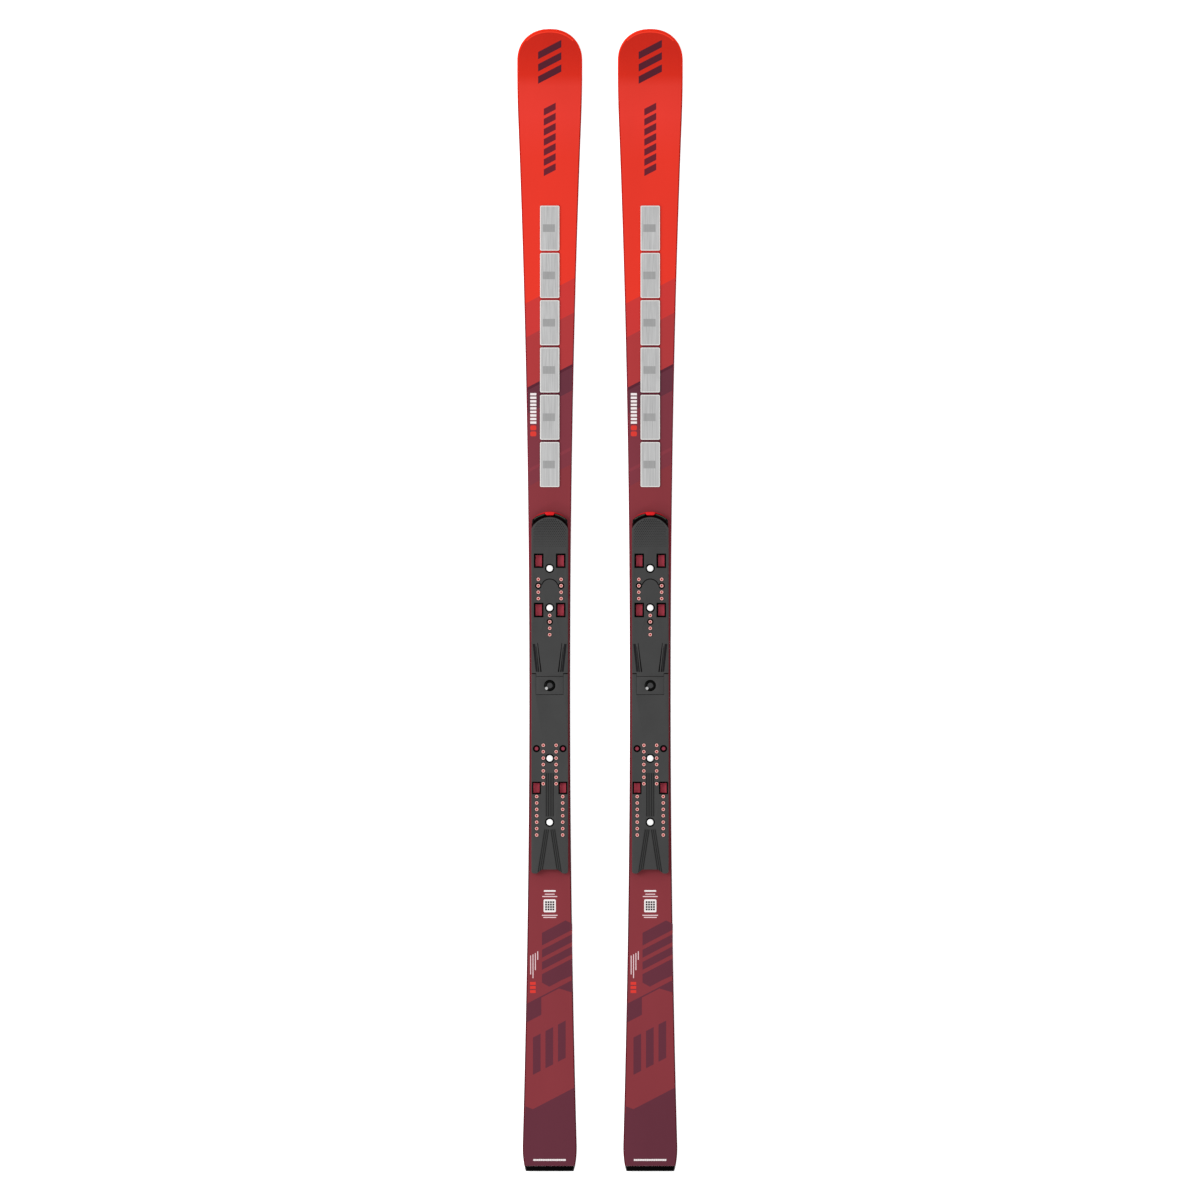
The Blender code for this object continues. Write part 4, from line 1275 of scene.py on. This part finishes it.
        # painted glint: a pale pin in the ring where a highlight falls
        top, foot = base + 0.00105, base - 0.0004
        pin = [(0.0, top), (0.0022, top), (0.0025, top - 0.0003), (0.0025, foot), (0.0, foot)]
        shape = turned(pin, [(-0.0053, BOOT_Y - 0.0046)], 24)
        self.add("centre_screw_glint", "centre_screw", None, shape, ["glint_pin"])

    # -- end cap and bumper

    def add_end_cap(self):
        half, foot = CAP_HIGH.x, CAP_LOW.y
        wall = 0.0035
        inner_half = half - 0.0025
        outer = nose(CAP_RADIUS, CAP_HIGH.y, half)
        inner = nose(CAP_RADIUS - wall, CAP_HIGH.y - wall, inner_half)
        outline = [(half, foot), *outer[:-1], (0.0, outer[-1][1])]
        outline += flipped(outer[:-1]) + [(-half, foot), (-inner_half, foot)]
        outline += flipped(inner[-2::-1]) + [(0.0, inner[-1][1])]
        outline += inner[-2::-1] + [(inner_half, foot)]
        notch_half = BUMPER_HIGH.x + 0.0003
        notch = rectangle(-notch_half, notch_half, BUMPER_LOW.y - 0.004, CAP_HIGH.y + 0.01)
        cuts = [(slab([notch], BUMPER_LOW.z - 0.0003, ABOVE_PLATE), "cap")]
        shape = slab([outline], CAP_LOW.z, CAP_HIGH.z)
        work = {"cuts": cuts, "rounding": 0.0007, "segments": 3}
        self.add("end_cap_arch", "cap", "front_end_cap", shape, ["cap"], **work)
        # Painted highlight: a pale strip along the crest of each arch of the end cap
        low, high = CAP_RADIUS - 0.0017, CAP_RADIUS - 0.0010
        cap_highlight = arc(CAP_CENTRE, low, 52, 78, 16) + arc(CAP_CENTRE, high, 78, 52, 16)
        highlight_slab = slab(both(cap_highlight), CAP_HIGH.z - 0.0006, CAP_HIGH.z + 0.00005)
        self.add("end_cap_painted_highlight", "cap", None, highlight_slab, ["cap_highlight"])

    def add_bumper(self):
        half, rear, front = BUMPER_HIGH.x - 0.0010, BUMPER_LOW.y, BUMPER_HIGH.y
        right = [(half - 0.0025, rear), (half, front - 0.0030), (half - 0.0008, front - 0.0008)]
        block = mirrored([*right, (half - 0.0030, front)])
        shape = slab([block], BUMPER_LOW.z, BUMPER_HIGH.z)
        rounded = {"rounding": 0.0008, "segments": 3}
        self.add("bumper_block", "bumper", "front_bumper", shape, ["bumper"], **rounded)

    # -- damping row

    def add_dampers(self):
        """Heights are above the topsheet."""
        bed = rectangle(BED_LOW.x, BED_HIGH.x, BED_LOW.y, BED_HIGH.y)
        # its finish darkens the bed as painted shade between the plates
        bed_shape = draped([bed], SEAM, 0.0011)
        self.add("damper_strip", "elastomer", "damper_bed", bed_shape, ["bed"])
        low, high = 0.00114, 0.0024
        patches = []
        for i, (corner, opposite) in enumerate(DAMPERS, 1):
            sides = (corner.x, opposite.x, corner.y, opposite.y)
            plate = draped([rounded_rectangle(*sides, 0.002)], low, high)
            inset = [side + rim for side, rim in zip(sides, (0.0014, -0.0014, 0.0014, -0.0014))]
            face = draped([rounded_rectangle(*inset, 0.0012)], high - 0.00006, high + 0.001)
            work = {"rounding": 0.0003, "sharp_cuts": [(face, "damper")]}
            node = f"damper_plate_{i}"
            self.add(f"damper_{i}", "damper_plate", node, plate, ["damper_rim"], **work)
            y = middle(corner.y, opposite.y)
            patches.append(rectangle(-0.0112, 0.0086, y - 0.00625, y + 0.00625))
        shape = draped(patches, high - 0.00005, high - 0.00002)
        self.add("damper_patches", "damper_plate", None, shape, ["damper_patch"])


# ---- floor, lights and camera ------------------------------------------------------------


def add_floor():
    shape = bmesh.new()
    bmesh.ops.create_grid(shape, x_segments=1, y_segments=1, size=24.0)
    bmesh.ops.translate(shape, verts=shape.verts, vec=(0, 0, cad_box[0].z - 0.0004))
    mesh = bpy.data.meshes.new("studio_floor")
    shape.to_mesh(mesh)
    shape.free()
    finish = Finish("studio_floor", 0.9, specular=0.1)
    tone = finish.noise(2.0)
    finish.colour(finish.ramp(tone, (0.0, (0.97, 0.97, 0.97, 1.0)), (1.0, (0.98, 0.98, 0.98, 1.0))))
    finish.shader.inputs["Emission Color"].default_value = (1.0, 1.0, 1.0, 1.0)
    finish.shader.inputs["Emission Strength"].default_value = 0.6
    mesh.materials.append(finish.material)
    floor = bpy.data.objects.new("studio_floor", mesh)
    bpy.context.scene.collection.objects.link(floor)


def add_softbox(name, location, size, power):
    light = bpy.data.lights.new(name, "AREA")
    light.shape = "RECTANGLE"
    light.size, light.size_y = size
    light.energy = power
    lamp = bpy.data.objects.new(name, light)
    lamp.location = location
    lamp.rotation_euler = (-Vector(location)).to_track_quat("-Z", "Y").to_euler()
    bpy.context.scene.collection.objects.link(lamp)


WORLD_LIGHT = 0.685  # the white surroundings light the skis less brightly than they look


def light_studio():
    world = bpy.data.worlds.new("soft_studio")
    world.use_nodes = True
    nodes, links = world.node_tree.nodes, world.node_tree.links
    background = nodes["Background"]
    background.inputs["Color"].default_value = (1.0, 1.0, 1.0, 1.0)
    strength = nodes.new("ShaderNodeMath")
    strength.operation = "MULTIPLY_ADD"
    strength.inputs[1].default_value = 1.0 - WORLD_LIGHT
    strength.inputs[2].default_value = WORLD_LIGHT
    links.new(nodes.new("ShaderNodeLightPath").outputs["Is Camera Ray"], strength.inputs[0])
    links.new(strength.outputs["Value"], background.inputs["Strength"])
    bpy.context.scene.world = world
    add_softbox("left_softbox", (-2.6, 0.4, 2.6), (1.6, 3.0), 58.0)
    add_softbox("low_left_glint", (-1.5, -2.0, 1.6), (0.35, 0.35), 9.0)
    bpy.context.scene.view_settings.view_transform = "Standard"


def add_camera():
    """Straight above the pair's middle, tips up the picture."""
    camera = bpy.data.cameras.new("overhead")
    camera.type = "ORTHO"
    camera.ortho_scale = SKI_LENGTH * 1.0505
    camera.clip_end = 40.0
    obj = bpy.data.objects.new("overhead", camera)
    obj.location = (0.0, 0.0, 8.0)
    bpy.context.scene.collection.objects.link(obj)
    bpy.context.scene.camera = obj


add_camera()
add_floor()
light_studio()
for ski_side in ("left", "right"):
    Ski(ski_side).build()
